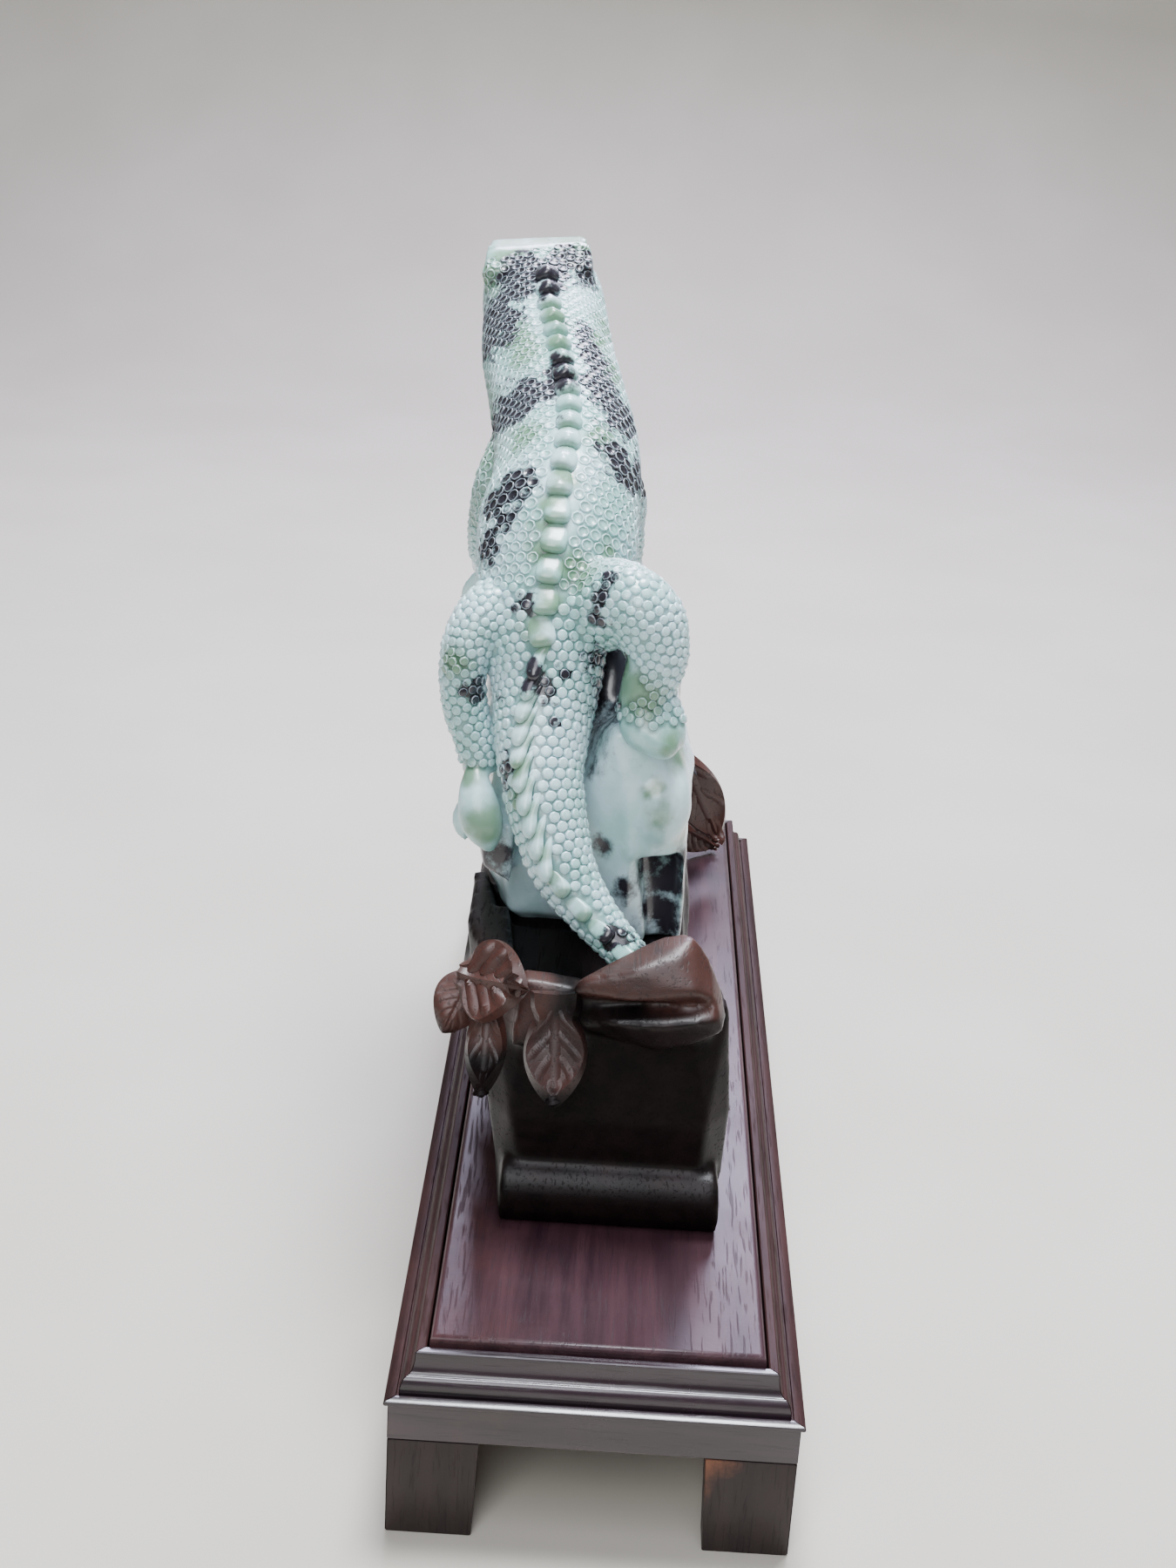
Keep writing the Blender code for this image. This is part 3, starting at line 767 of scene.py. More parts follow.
@dataclass(frozen=True)
class RosewoodFinish:
    """Waxed rosewood, redder where hands have worn it and along painted sheen bands stored with the wear."""

    name: str
    grain: Grain
    dark: Colour = (0.0055, 0.0032, 0.0042, 1)
    light: Colour = (0.022, 0.0115, 0.0125, 1)
    worn: Colour = (0.080, 0.030, 0.024, 1)
    roughness: float = 0.36
    coat: float = 0.3
    relief: float = 0.2
    specular: float = 0.4
    polish: float = 0.0

    def material(self) -> bpy.types.Material:
        """Builds the material.

        Returns:
            The new material.
        """
        made, graph, shader = surface(self.name)
        place = graph.add("TexCoord").outputs["Object"]
        grain = graph.add("Group", {"node_tree": grain_group()}, Place=place, Stretch=self.grain.value)
        colour = graph.blend(grain.outputs["Streaks"], self.dark, self.light)
        patches = graph.ramp(graph.noise(place, 22.0, 3.0), 0.35, 0.7)
        colour = graph.blend(graph.sum("MULTIPLY", patches, 0.35), colour, self.light)
        rubbed = graph.noise(place, 70.0, 6.0, 0.7)
        worn = graph.ramp(
            graph.sum("ADD", graph.stored(Attribute.WORN_AND_SHEEN), graph.sum("MULTIPLY", rubbed, 0.7)), 0.62, 1.35
        )
        colour = graph.blend(worn, colour, self.worn)
        colour = graph.blend(graph.sum("MULTIPLY", grain.outputs["Pores"], 0.45), colour, self.dark)
        graph.feed(shader.inputs["Base Color"], colour)
        relief = graph.add("Group", {"node_tree": relief_group()}, Place=place, Roughness=self.roughness, Spread=0.2)
        rough = graph.sum("MULTIPLY_ADD", grain.outputs["Pores"], 0.15, relief.outputs["Roughness"])
        graph.feed(shader.inputs["Roughness"], rough)
        height = graph.sum("MULTIPLY_ADD", grain.outputs["Pores"], -0.6, relief.outputs["Height"])
        bumped(graph, shader, height, self.relief, 0.0003)
        shader.inputs["IOR"].default_value = 1.5
        worn_value = graph.stored(Attribute.WORN_AND_SHEEN)
        graph.feed(
            shader.inputs["Specular IOR Level"], graph.sum("MULTIPLY_ADD", worn_value, self.polish, self.specular)
        )
        shader.inputs["Coat Weight"].default_value = self.coat
        shader.inputs["Coat Roughness"].default_value = 0.16
        return made


@dataclass(frozen=True)
class PlainWoodFinish:
    """Sawn, unfinished hardwood of the hidden joinery."""

    name: str = "sawn_hardwood"
    dark: Colour = (0.13, 0.055, 0.03, 1)
    light: Colour = (0.30, 0.15, 0.085, 1)

    def material(self) -> bpy.types.Material:
        """Builds the material.

        Returns:
            The new material.
        """
        made, graph, shader = surface(self.name)
        place = graph.add("TexCoord").outputs["Object"]
        grain = graph.add("Group", {"node_tree": grain_group()}, Place=place, Stretch=Grain.ALONG_X.value)
        graph.feed(shader.inputs["Base Color"], graph.blend(grain.outputs["Streaks"], self.dark, self.light))
        relief = graph.add("Group", {"node_tree": relief_group()}, Place=place, Roughness=0.7, Spread=0.2)
        graph.feed(shader.inputs["Roughness"], relief.outputs["Roughness"])
        bumped(graph, shader, relief.outputs["Height"], 0.5, 0.0004)
        return made


@dataclass(frozen=True)
class SteelFinish:
    """Plain steel of the wood screws, with turning marks and a few dull spots."""

    name: str = "screw_steel"

    def material(self) -> bpy.types.Material:
        """Builds the material.

        Returns:
            The new material.
        """
        made, graph, shader = surface(self.name)
        place = graph.add("TexCoord").outputs["Object"]
        dull = graph.ramp(graph.noise(place, 300.0, 5.0, 0.7), 0.4, 0.7)
        colour = graph.blend(dull, (0.55, 0.55, 0.56, 1), (0.30, 0.29, 0.28, 1))
        graph.feed(shader.inputs["Base Color"], colour)
        relief = graph.add("Group", {"node_tree": relief_group()}, Place=place, Roughness=0.38, Spread=0.3)
        graph.feed(shader.inputs["Roughness"], relief.outputs["Roughness"])
        bumped(graph, shader, relief.outputs["Height"], 0.3, 0.0002)
        shader.inputs["Metallic"].default_value = 1.0
        return made


# The stone.


@dataclass
class StonePattern:
    """Where the stone is charcoal or green: patches as (x, y, z, radius) in millimetres."""

    charcoal_patches: tuple[Row, ...] = (
        (-38, 56, 240, 4.6), (-34, 54, 240, 3.8), (-29, 52, 241, 3.8), (-25, 57, 243, 4.2), (-21, 57, 244, 3.2),
        (-19, 57, 240, 3.2), (-27, 44, 238, 2.2), (-36, 47, 236, 3.2), (-41, 48, 233, 3.0), (-44, 45, 229, 4.2),
        (-43, 36, 226, 4.4), (-38, 28, 228, 2.6), (-45, 38, 222, 2.6), (-38, 34, 231, 2.6), (-41, 42, 231, 3.0),
        (-19, 26, 230, 2.6), (-17, 19, 227, 2.8), (-14, 13, 225, 3.2), (-14, 4, 222, 3.2), (-12, -1, 220, 3.8),
        (-9, -5, 217, 4.0), (-6, -6, 214, 3.8), (-24, 5, 225, 2.6), (-23, -3, 223, 3.0), (-26, -3, 221, 2.8),
        (-30, -3, 220, 3.4), (-33, -2, 217, 4.0), (-36, -2, 214, 4.0), (-39, 2, 210, 3.2), (-9, -24, 210, 2.8),
        (-7, -25, 208, 3.2), (-5, -25, 205, 3.4), (-3, -16, 203, 3.2), (-2, -5, 198, 2.8), (-31, -34, 205, 3.2),
        (-33, -35, 202, 3.8), (-36, -35, 199, 3.8), (-34, -41, 196, 2.8), (-37, -41, 190, 2.8), (-28, -36, 204, 2.0),
        (-9, -57, 189, 2.0), (-9, -59, 184, 2.0), (-10, -60, 179, 1.7), (-27, -56, 181, 2.2), (-25, -63, 169, 1.8),
        (-24, -64, 166, 2.8), (-21, -64, 163, 2.2), (-17, -61, 167, 1.7), (-37, -59, 160, 3.0), (-39, -61, 160, 2.2),
        (-30, -69, 146, 1.8), (-30, -70, 142, 1.8), (-18, -67, 156, 1.0), (-2, -89, 114, 2.0), (1, -89, 113, 2.2),
        (-3, -90, 112, 1.8), (6.5, -57, 118, 4.4), (10.5, -56, 113, 4.9), (8, -56, 106, 4.8), (12.5, -56, 119, 3.8),
        (0.5, -64, 113, 2.4), (-34, -60, 117, 5.0), (-31, -62, 112, 4.6), (-36, -55, 112, 4.2), (-6, -61, 124, 2.0),
        (-30, -62, 120, 3.6), (-7.5, -59, 142, 2.2), (11.5, -55, 102, 3.4),
        (-24, -20, 219, 2.2), (-30, 40, 238, 2.0),
    )
    green_patches: tuple[Row, ...] = (
        (-42, 59, 243, 3.8), (-45, 59, 236, 3.4), (-40, 68, 244, 3.6), (-33, 71, 246, 3.4), (-25, 70, 247, 4.2),
        (-21, 66, 245, 3.2), (-22, 62, 247, 3.8), (-13, 41, 228, 3.0), (-10, 15, 222, 3.0),
        (-26, 28, 234, 2.8), (-25, 15, 231, 2.6), (-34, 17, 226, 3.4), (-12, -21, 214, 3.0), (-31, -19, 212, 3.2),
        (-20, -37, 207, 2.2), (-23, -42, 202, 2.2), (-24, -46, 197, 2.2), (-24, -49, 192, 2.6), (-17, -51, 189, 3.2),
        (-14, -52, 187, 2.2), (-20, -56, 182, 2.4), (-25, -59, 177, 2.2), (-1, -63, 164, 3.8), (2, -65, 162, 3.2),
        (-4, -59, 168, 3.0), (9, -67, 154, 2.8), (8, -69, 151, 2.4), (3, -65, 139, 1.4), (-3, -66, 135, 1.0),
        (7, -65, 135, 2.6), (5, -64, 141, 1.6), (-34, -70, 132, 2.8), (-33, -70, 129, 2.2), (-27, -74, 147, 1.8),
        (-26, -74, 139, 2.0), (-26, -70, 128, 2.0), (-38, -63, 141, 2.4), (-43, -60, 167, 2.8), (-7, -46, 194, 2.6),
        (-36, 24, 228, 3.0), (-14, 28, 228, 2.8), (10, -55, 146, 3.4), (12, -58, 128, 3.0), (-20, -76, 128, 2.0),
    )
    # The last mass is painted shade: it darkens the rock seen through the gap between the tail and the right shin.
    charcoal_and_shade_masses: tuple[Row, ...] = (
        (-10, 40, 150, 14), (8, 70, 130, 12), (-38, 60, 120, 12), (-40, -8, 140, 9), (-6, -40, 160, 13)
    )
    green_masses: tuple[Row, ...] = (
        (-20, 60, 140, 16), (-34, 0, 128, 14), (12, 16, 118, 13), (-10, 96, 112, 12), (-46, 20, 200, 12)
    )
    falloff: float = 0.39
    trees: dict[int, KDTree] = field(default_factory=dict)

    def wander(self, point: Vector) -> Vector:
        """The point, pushed about so that patches get ragged outlines."""
        return point + noise.noise_vector(point / 7.0) * 1.6 + noise.noise_vector(point / 2.5) * 0.8

    def near(self, point: Vector, patches: tuple[Row, ...]) -> list[Row]:
        """The few patches nearest a point.

        Args:
            point: The point, in millimetres.
            patches: The patches to choose from.

        Returns:
            The nearest ones.
        """
        tree = self.trees.get(id(patches))
        if tree is None:
            tree = self.trees[id(patches)] = point_tree([Vector(patch[:3]) for patch in patches])
        return [patches[i] for _, i, _ in tree.find_n(point, 6)]

    def strength(self, point: Vector, patches: tuple[Row, ...], masses: tuple[Row, ...]) -> float:
        """How deep a point lies in a patch; patches run longer along the neck.

        Args:
            point: The point, in millimetres.
            patches: Small patches.
            masses: Large ones, which are always tried.

        Returns:
            A number from 0 outside to 1 at a patch's middle.
        """
        moved = self.wander(point)
        best = 0.0
        for x, y, z, radius in [*self.near(moved, patches), *masses]:
            stretch = 1.0 + 1.1 * ease(-40, 0, y)
            apart = math.hypot(moved.x - x, (moved.y - y) / stretch, moved.z - z) / radius
            best = max(best, 1.0 - apart * self.falloff)
        return max(0.0, best)

    def charcoal(self, point: Vector) -> float:
        """Strength of the charcoal, and of the painted shade in the gap between the tail and the right shin, at a
        point in millimetres.
        """
        return self.strength(point, self.charcoal_patches, self.charcoal_and_shade_masses)

    def green(self, point: Vector) -> float:
        """Strength of the green at a point in millimetres."""
        return self.strength(point, self.green_patches, self.green_masses)

    def paint(self, bm: bmesh.types.BMesh) -> None:
        """Stores both on a mesh, and the rim value of stone that has no scales.

        Args:
            bm: The mesh to change.
        """
        painted(bm, Attribute.CHARCOAL, self.charcoal)
        painted(bm, Attribute.GREEN, self.green)
        painted(bm, Attribute.RIM, lambda _: 0.5)


@dataclass
class Lizard:
    """The carved lizard: a fused skin, bead scales over it, a crest along the back, and bare feet."""

    pattern: StonePattern
    finish: bpy.types.Material
    voxel: float = 0.8 * MM
    rounds: int = 6
    crown_rounds: int = 7
    toe_count: int = 5
    toe_reach: float = 9.0
    toe_fall: float = -0.7
    toe_droop: float = 3.0
    toe_turn_in: float = 20.0
    spine: tuple[Row, ...] = (
        (3.5, -90.0, 107.5, 4.0, 3.4),
        (-7.0, -81.5, 115.0, 5.4, 5.0),
        (-15.0, -75.0, 124.5, 7.4, 7.2),
        (-20.5, -66.5, 140.0, 9.2, 9.0),
        (-21.5, -60.0, 149.0, 10.6, 10.2),
        (-21.5, -51.5, 161.0, 12.8, 11.8),
        (-22.4, -45.0, 173.0, 15.5, 13.5),
        (-21.1, -34.5, 185.5, 19.0, 16.0),
        (-20.9, -26.5, 192.5, 19.1, 17.0),
        (-19.9, -16.5, 199.0, 18.2, 16.5),
        (-20.9, -0.5, 206.0, 17.9, 15.5),
        (-24.2, 19.0, 213.4, 17.5, 14.8),
        (-28.0, 41.0, 220.5, 17.3, 14.6),
        (-29.9, 58.5, 227.5, 16.6, 14.4),
    )
    head: tuple[Row, ...] = (
        (-29.9, 58.5, 227.5, 16.6, 14.4),
        (-31.3, 68.0, 231.5, 16.2, 13.8),
        (-32.8, 78.0, 234.2, 14.8, 12.0),
        (-34.2, 88.0, 234.4, 11.4, 9.6),
        (-35.5, 98.0, 233.0, 8.2, 7.0),
        (-36.2, 104.5, 231.0, 5.6, 5.0),
        (-36.6, 107.0, 230.0, 2.6, 2.4),
    )
    limbs: dict[str, tuple[Row, ...]] = field(
        default_factory=lambda: {
            "hind_right": (
                (-15, -42, 175, 8, 10),
                (-7.5, -50, 180.5, 9.4, 10.6),
                (0.5, -55, 179.5, 9.0, 9.8),
                (4.2, -57, 171.5, 7.2, 7.8),
                (2.5, -57.5, 163, 6.3, 6.8),
                (1.6, -58.5, 157, 5.8, 6.0),
                (3.0, -60.0, 154.5, 5.6, 4.6),
            ),
            "hind_left": (
                (-28, -40, 175, 8, 10),
                (-36, -48, 174, 7.4, 9.0),
                (-40.6, -53, 167, 5.6, 7.4),
                (-40.4, -55, 156, 5.0, 5.6),
                (-37.0, -56, 146, 4.7, 5.2),
                (-35.5, -57, 139, 4.4, 4.8),
            ),
            "fore_right": (
                (-15, 8, 206, 7, 7.5),
                (-7.0, -4, 196, 6.4, 6.8),
                (-5.5, 3, 184, 5.4, 5.8),
                (-5.0, 14, 174, 4.8, 5.0),
                (-5.0, 20, 168, 4.8, 4.6),
            ),
            "fore_left": (
                (-32, 8, 206, 7, 7.5),
                (-37.0, -4, 196, 6.2, 6.6),
                (-39.5, 4, 184, 5.2, 5.6),
                (-40.5, 15, 174, 4.6, 5.0),
                (-40.0, 21, 168, 4.8, 4.6),
            ),
        }
    )

    def hind_feet(self) -> list[bmesh.types.BMesh]:
        """The bare hind feet: two petals on the left and a mitten on the right.

        Returns:
            Closed shapes.
        """
        left_petals = (
            ((-37, -60.5, 141, 2.5, 2.0), (-36, -64.5, 136, 4.6, 3.2), (-34.4, -66.8, 130.5, 5.2, 3.6),
             (-33, -67, 126, 3.6, 2.7), (-32, -66.5, 122.4, 0.6, 0.6)),
            ((-37.6, -60.5, 134, 2.2, 2.2), (-38.8, -62.5, 130, 2.9, 2.6), (-38.9, -63.5, 126.8, 2.3, 2.0),
             (-38, -63.8, 124, 0.6, 0.6)),
        )
        mitten = ((1.5, -59.0, 157.5, 6.2, 5.6), (3.4, -61.4, 155.0, 6.8, 5.4), (5.8, -63.6, 153.0, 5.6, 4.4),
                  (8.2, -65.6, 151.0, 3.8, 3.2), (9.6, -66.4, 149.8, 1.4, 1.6))
        thumb = ((6.4, -59.0, 160.5, 3.2, 3.4), (8.8, -60.5, 156.5, 3.0, 3.2), (10.2, -62.0, 152.4, 2.2, 2.6),
                 (10.6, -63.0, 149.8, 0.9, 1.2))
        return [
            *(lofted(rows, 20, 24) for rows in left_petals),
            lofted(mitten, 24, 30),
            lofted(thumb, 20, 24),
        ]

    def fore_foot(self, palm: Row, toe_root: Row, heading: float) -> list[bmesh.types.BMesh]:
        """A front foot: a palm and five toes that fan out and droop over the rock.

        Args:
            palm: The palm's centre, in millimetres.
            toe_root: Where the toes start, in millimetres.
            heading: Direction of the fan's middle toe from +X towards +Y, in degrees, before it is turned in.

        Returns:
            Closed shapes.
        """
        shapes = [blob(palm, (5.4, 6.5, 3.8), (-25, 0, 0))]
        for k in range(self.toe_count):
            angle = math.radians(heading - self.toe_turn_in - 60 + 120 * k / (self.toe_count - 1))
            way = Vector((math.cos(angle), math.sin(angle), self.toe_fall))
            rows = []
            for t, size in ((0.0, 2.3), (0.4, 2.2), (0.75, 1.9), (0.95, 1.2), (1.15, 0.3)):
                x, y, z = Vector(toe_root) + way * self.toe_reach * t - Vector((0, 0, self.toe_droop * t * t))
                rows.append((x, y, z, size, size * 0.85))
            shapes.append(lofted(rows, 12, 14))
        return shapes

    def face(self) -> list[bmesh.types.BMesh]:
        """Brow ridges and eyes, a swelling behind the left eye, and the flat crown.

        Returns:
            Closed shapes.
        """
        shapes = []
        for side in (-1, 1):
            brow = (-33.4 + side * 10.4, 81, 240.5 + side * 1.2)
            shapes.append(blob(brow, (3.8, 8.0, 2.8), (-6, side * 12, side * 10)))
            shapes.append(blob((-34.0 + side * 11.2, 84, 237.0), (3.0, 4.0, 3.4)))
        shapes.append(hull([
            (-46.7, 57, 239.5), (-18.0, 57, 242.2), (-47.4, 66, 243.6), (-18.8, 66, 247.0),
            (-47.0, 78, 244.8), (-20.6, 78, 247.4), (-41, 88, 242.4), (-28, 88, 243.4),
            (-46.4, 60, 232), (-17.0, 60, 232), (-44, 84, 233), (-26, 84, 233),
        ]))
        shapes.append(blob((-46.4, 63, 238.6), (1.6, 2.8, 2.4)))
        return shapes

    def skin(self) -> bmesh.types.BMesh:
        """Trunk, tail, head, limbs and feet, melted together, with a softened crown.

        Returns:
            One closed skin.
        """
        shapes = [lofted(self.spine, 40, 120), lofted(self.head, 32, 48)]
        shapes += [lofted(rows, 24, 40) for rows in self.limbs.values()]
        shapes += self.hind_feet() + self.face()
        shapes += self.fore_foot((-5.0, 24.0, 166.5), (-5.0, 28.0, 164.5), 70)
        shapes += self.fore_foot((-40.0, 25.0, 166.5), (-40.0, 29.0, 164.5), 110)
        skin = fused(shapes, self.voxel, self.rounds)
        crown = [vert for vert in skin.verts if vert.co.y > 52 * MM and vert.co.z > 234 * MM]
        for _ in range(self.crown_rounds):
            smoothed(skin, crown)
        return skin

    def build(self) -> list[bpy.types.Object]:
        """Makes every piece of the lizard.

        Returns:
            The pieces.
        """
        skin = self.skin()
        crest = Crest(self)
        scales = Scales(self)
        spread = scales.spread(skin, crest)
        scales.dent_and_shade(skin, spread, crest)
        self.pattern.paint(skin)
        return [
            crest.build(),
            *scales.build(spread),
            piece("lizard_skin", skin, self.finish, ["jade_carving"]),
        ]


@dataclass
class Scale:
    """One scale: where it sits and how big it is, in millimetres, and the stone's shade in it."""

    centre: Vector
    normal: Vector
    radius: float
    charcoal: float
    green: float


@dataclass
class Scales:
    """Bead scales in staggered rows over the skin, except on the feet, on the crown and under the crest."""

    lizard: Lizard
    back_pitch: float = 2.65
    tail_pitch: float = 2.65
    limb_pitch: float = 2.3
    inset: float = 0.12
    rounds: int = 6
    reach: float = 2.5
    row_share: float = 0.66
    loose_share: float = 0.76
    push_reach: float = 1.12
    push_share: float = 0.2
    packing: float = 0.515
    # The third number of each ring is its rim value: the jade finish paints highlight near 1 and shade near 0.
    ringed: tuple[tuple[float, float, float], ...] = (
        (1.0, -0.25, 0.1), (0.95, 0.10, 0.8), (0.84, 0.20, 1.0), (0.70, 0.03, 0.05), (0.0, 0.18, 0.35)
    )
    domed: tuple[tuple[float, float, float], ...] = (
        (1.0, -0.25, 0.0), (0.95, 0.14, 0.6), (0.82, 0.36, 1.0), (0.64, 0.38, 0.25), (0.0, 0.60, 0.45)
    )
    smallest: float = 0.8
    largest: float = 1.8

    def pitch(self, point: Vector) -> float:
        """Spacing of the scales.

        Args:
            point: A point of the skin, in millimetres.

        Returns:
            The spacing there, in millimetres.
        """
        on_tail = ease(178, 160, point.z) * ease(-46, -58, point.y) * ease(12, 8, abs(point.x + 16))
        on_limb = ease(190, 182, point.z) * ease(9, 14, abs(point.x + 18))
        return self.back_pitch + (self.tail_pitch - self.back_pitch) * on_tail + (
            self.limb_pitch - self.back_pitch
        ) * on_limb

    def bare(self, point: Vector) -> bool:
        """Whether the skin has no scales at a point: on the feet, the crown and the inside of the right shin.

        Args:
            point: A point of the skin, in millimetres.

        Returns:
            True where it is bare.
        """
        x, y, z = point
        right_foot = z < 156.5 and x > -6 and -75 < y < -52
        left_foot = z < 142 and x < -29 and -75 < y < -52
        fore_feet = z < 171 and 14 < y < 45
        crown = y > 62 + 0.2 * (x + 45) and z > 238
        inner_shin = math.dist(point, (-4, -61, 165)) < 6.5
        return right_foot or left_foot or fore_feet or crown or inner_shin

    def rows(self, skin_tree: BVHTree) -> list[Vector]:
        """Staggered seeds round the trunk and tail, so that the scales run in columns along the body.

        Args:
            skin_tree: The lizard's skin.

        Returns:
            Places on the skin, in millimetres.
        """
        seeds = []
        count, gone, stagger = 1, 0.0, 0.0
        sections = stations(self.lizard.spine, 900)
        for before, here in zip(sections, sections[1:]):
            gone += (here.centre - before.centre).length
            pitch = self.pitch(here.rim(0.0))
            if gone < pitch * ROW_GAP:
                continue
            gone, stagger = 0.0, 0.5 - stagger
            round_trip = math.tau * math.hypot(here.width, here.height) / math.sqrt(2)
            if not 0.86 < round_trip / pitch / count < 1.16:
                count = round(round_trip / pitch)
            for k in range(count):
                way = here.rim(math.tau * (k + stagger) / count) - here.centre
                hit = skin_tree.ray_cast(here.centre * MM, way.normalized())[0]
                if hit and (hit / MM - here.centre).length < way.length + self.reach:
                    seeds.append(hit / MM)
        return seeds

    def scattered(self, skin: bmesh.types.BMesh, skin_tree: BVHTree) -> list[Vector]:
        """The seeds in rows, and seeded random points wherever they leave room.

        Args:
            skin: The lizard's skin.
            skin_tree: The same skin, to cast on.

        Returns:
            Places on the skin, in millimetres.
        """
        dice = random.Random(SEED)
        loose = [face.calc_center_median() / MM for face in skin.faces]
        dice.shuffle(loose)
        cell = max(self.back_pitch, self.tail_pitch)
        grid: dict[tuple[int, int, int], list[Vector]] = {}
        kept = []
        rows = self.rows(skin_tree)
        for i, point in enumerate(rows + loose):
            gap = self.pitch(point) * (self.row_share if i < len(rows) else self.loose_share)
            column, line, layer = (int(value // cell) for value in point)
            near = (
                other
                for dx in (-1, 0, 1)
                for dy in (-1, 0, 1)
                for dz in (-1, 0, 1)
                for other in grid.get((column + dx, line + dy, layer + dz), ())
            )
            if any((other - point).length < gap for other in near):
                continue
            grid.setdefault((column, line, layer), []).append(point)
            kept.append(point)
        return kept

    def relaxed(self, points: list[Vector], skin_tree: BVHTree) -> list[Vector]:
        """Pushes close neighbours apart along the skin.

        Args:
            points: Places on the skin, in millimetres.
            skin_tree: The lizard's skin.

        Returns:
            The places after the pushing.
        """
        for _ in range(self.rounds):
            tree = point_tree(points)
            moved = []
            for i, point in enumerate(points):
                reach = self.pitch(point) * self.push_reach
                push = Vector()
                for other, j, apart in tree.find_n(point, 8):
                    if j != i and 0.01 < apart < reach:
                        push += (point - other) / apart * (reach - apart) * self.push_share
                moved.append(skin_tree.find_nearest((point + push) * MM)[0] / MM)
            points = moved
        return points

    def spread(self, skin: bmesh.types.BMesh, crest: Crest) -> list[Scale]:
        """Every scale, evenly packed.

        Args:
            skin: The lizard's skin.
            crest: The crest, under which no scale lies.

        Returns:
            The scales.
        """
        skin_tree = BVHTree.FromBMesh(skin)
        points = self.relaxed(self.scattered(skin, skin_tree), skin_tree)
        crest_tree = point_tree([place for place, _, _ in crest.line(300)])
        tree = point_tree(points)
        dice = random.Random(SEED + 1)
        made = []
        for i, point in enumerate(points):
            if self.bare(point) or crest_tree.find(point)[2] < crest.cover(point.z):
                continue
            gaps = sorted(apart for _, j, apart in tree.find_n(point, 7) if j != i)
            radius = min(self.largest, max(self.smallest, sum(gaps[:5]) / 5 * self.packing))
            normal = skin_tree.find_nearest(point * MM)[1]
            charcoal = self.lizard.pattern.charcoal(point)
            charcoal += dice.uniform(-0.10, 0.10) if charcoal > 0.15 else 0.0
            made.append(Scale(point, normal, radius, charcoal, self.lizard.pattern.green(point)))
        return made

    def dent_and_shade(self, skin: bmesh.types.BMesh, scales: Sequence[Scale], crest: Crest) -> None:
        """Sinks the skin between the scales, and stores painted shade for it and for the notches between the crest's
        plates.

        Args:
            skin: The skin to change.
            scales: The scales over it.
            crest: The crest over it.
        """
        tree = point_tree([scale.centre for scale in scales])
        crest_tree = point_tree([place for place, _, _ in crest.line(300)])
        skin.normal_update()
        layer = skin.verts.layers.float.new(Attribute.GROOVE_SHADE.value)
        # Each point stores painted shade: deep in the crest's notches, and between scales, more so low on the body.
        for vert in skin.verts:
            cover = 1.0 - ease(1.5, 2.4, tree.find(vert.co / MM)[2])
            notch_shade = ease(2.9, 2.2, crest_tree.find(vert.co / MM)[2])
            vert[layer] = max(notch_shade, cover * (0.45 + 0.4 * ease(190, 176, vert.co.z / MM)))
            vert.co -= vert.normal * self.inset * cover * MM

    def bead(self, name: str, profile: Sequence[tuple[float, float, float]]) -> bpy.types.Mesh:
        """One scale of unit radius.

        Args:
            name: The template's name.
            profile: Rings of (radius, height, rim value) from the outside in; the last one is the middle point.

        Returns:
            The template mesh.
        """
        bm = bmesh.new()
        layer = bm.verts.layers.float.new(Attribute.RIM.value)
        bmesh.ops.create_circle(bm, cap_ends=True, segments=8, radius=1.0)
        face = next(iter(bm.faces))
        for i, (radius, height, rim) in enumerate(profile[:-1]):
            if i:
                thickness = (profile[i - 1][0] - radius) * math.cos(math.pi / 8)
                bmesh.ops.inset_individual(bm, faces=[face], thickness=thickness, depth=0.0, use_even_offset=True)
            for vert in face.verts:
                vert.co.z = height
                vert[layer] = rim
        middle = bmesh.ops.poke(bm, faces=[face])["verts"][0]
        middle.co.z, middle[layer] = profile[-1][1], profile[-1][2]
        mesh = bpy.data.meshes.new(name)
        bm.to_mesh(mesh)
        bm.free()
        return mesh

    def on_tail(self, scale: Scale) -> bool:
        """Whether a scale is on the tail or a limb, where scales are rounder."""
        return scale.centre.y < -56 or scale.centre.z < 184

    def build(self, scales: Sequence[Scale]) -> list[bpy.types.Object]:
        """Stamps the scales in four pieces: neck, back, tail and limbs.

        Args:
            scales: The scales.

        Returns:
            The pieces.
        """
        ringed = self.bead("ringed_scale", self.ringed)
        domed = self.bead("domed_scale", self.domed)
        groups: dict[str, list[Scale]] = {"neck_scales": [], "back_scales": [], "tail_scales": [], "limb_scales": []}
        for scale in scales:
            if self.on_tail(scale):
                middle = abs(scale.centre.x + 16) < 12.5
                groups["tail_scales" if middle else "limb_scales"].append(scale)
            else:
                groups["neck_scales" if scale.centre.y > 5 else "back_scales"].append(scale)
        dice = random.Random(SEED + 2)
        made = []
        for name, group in groups.items():
            template = domed if name in ("tail_scales", "limb_scales") else ringed
            places = []
            for scale in group:
                lean = Vector([dice.uniform(-0.10, 0.10) for _ in range(3)])
                turn = (scale.normal + lean).to_track_quat("Z", "Y").to_matrix().to_4x4()
                spin = Matrix.Rotation(dice.uniform(0, math.pi), 4, "Z")
                size = Vector((dice.uniform(0.90, 1.04), dice.uniform(0.90, 1.04), dice.uniform(0.85, 1.2)))
                stretch = Matrix.Diagonal((*(size * scale.radius * MM), 1.0))
                places.append(Matrix.Translation(scale.centre * MM) @ turn @ spin @ stretch)
            bm = stamped(template, places)
            tree = point_tree([scale.centre for scale in group])
            charcoal = bm.verts.layers.float.new(Attribute.CHARCOAL.value)
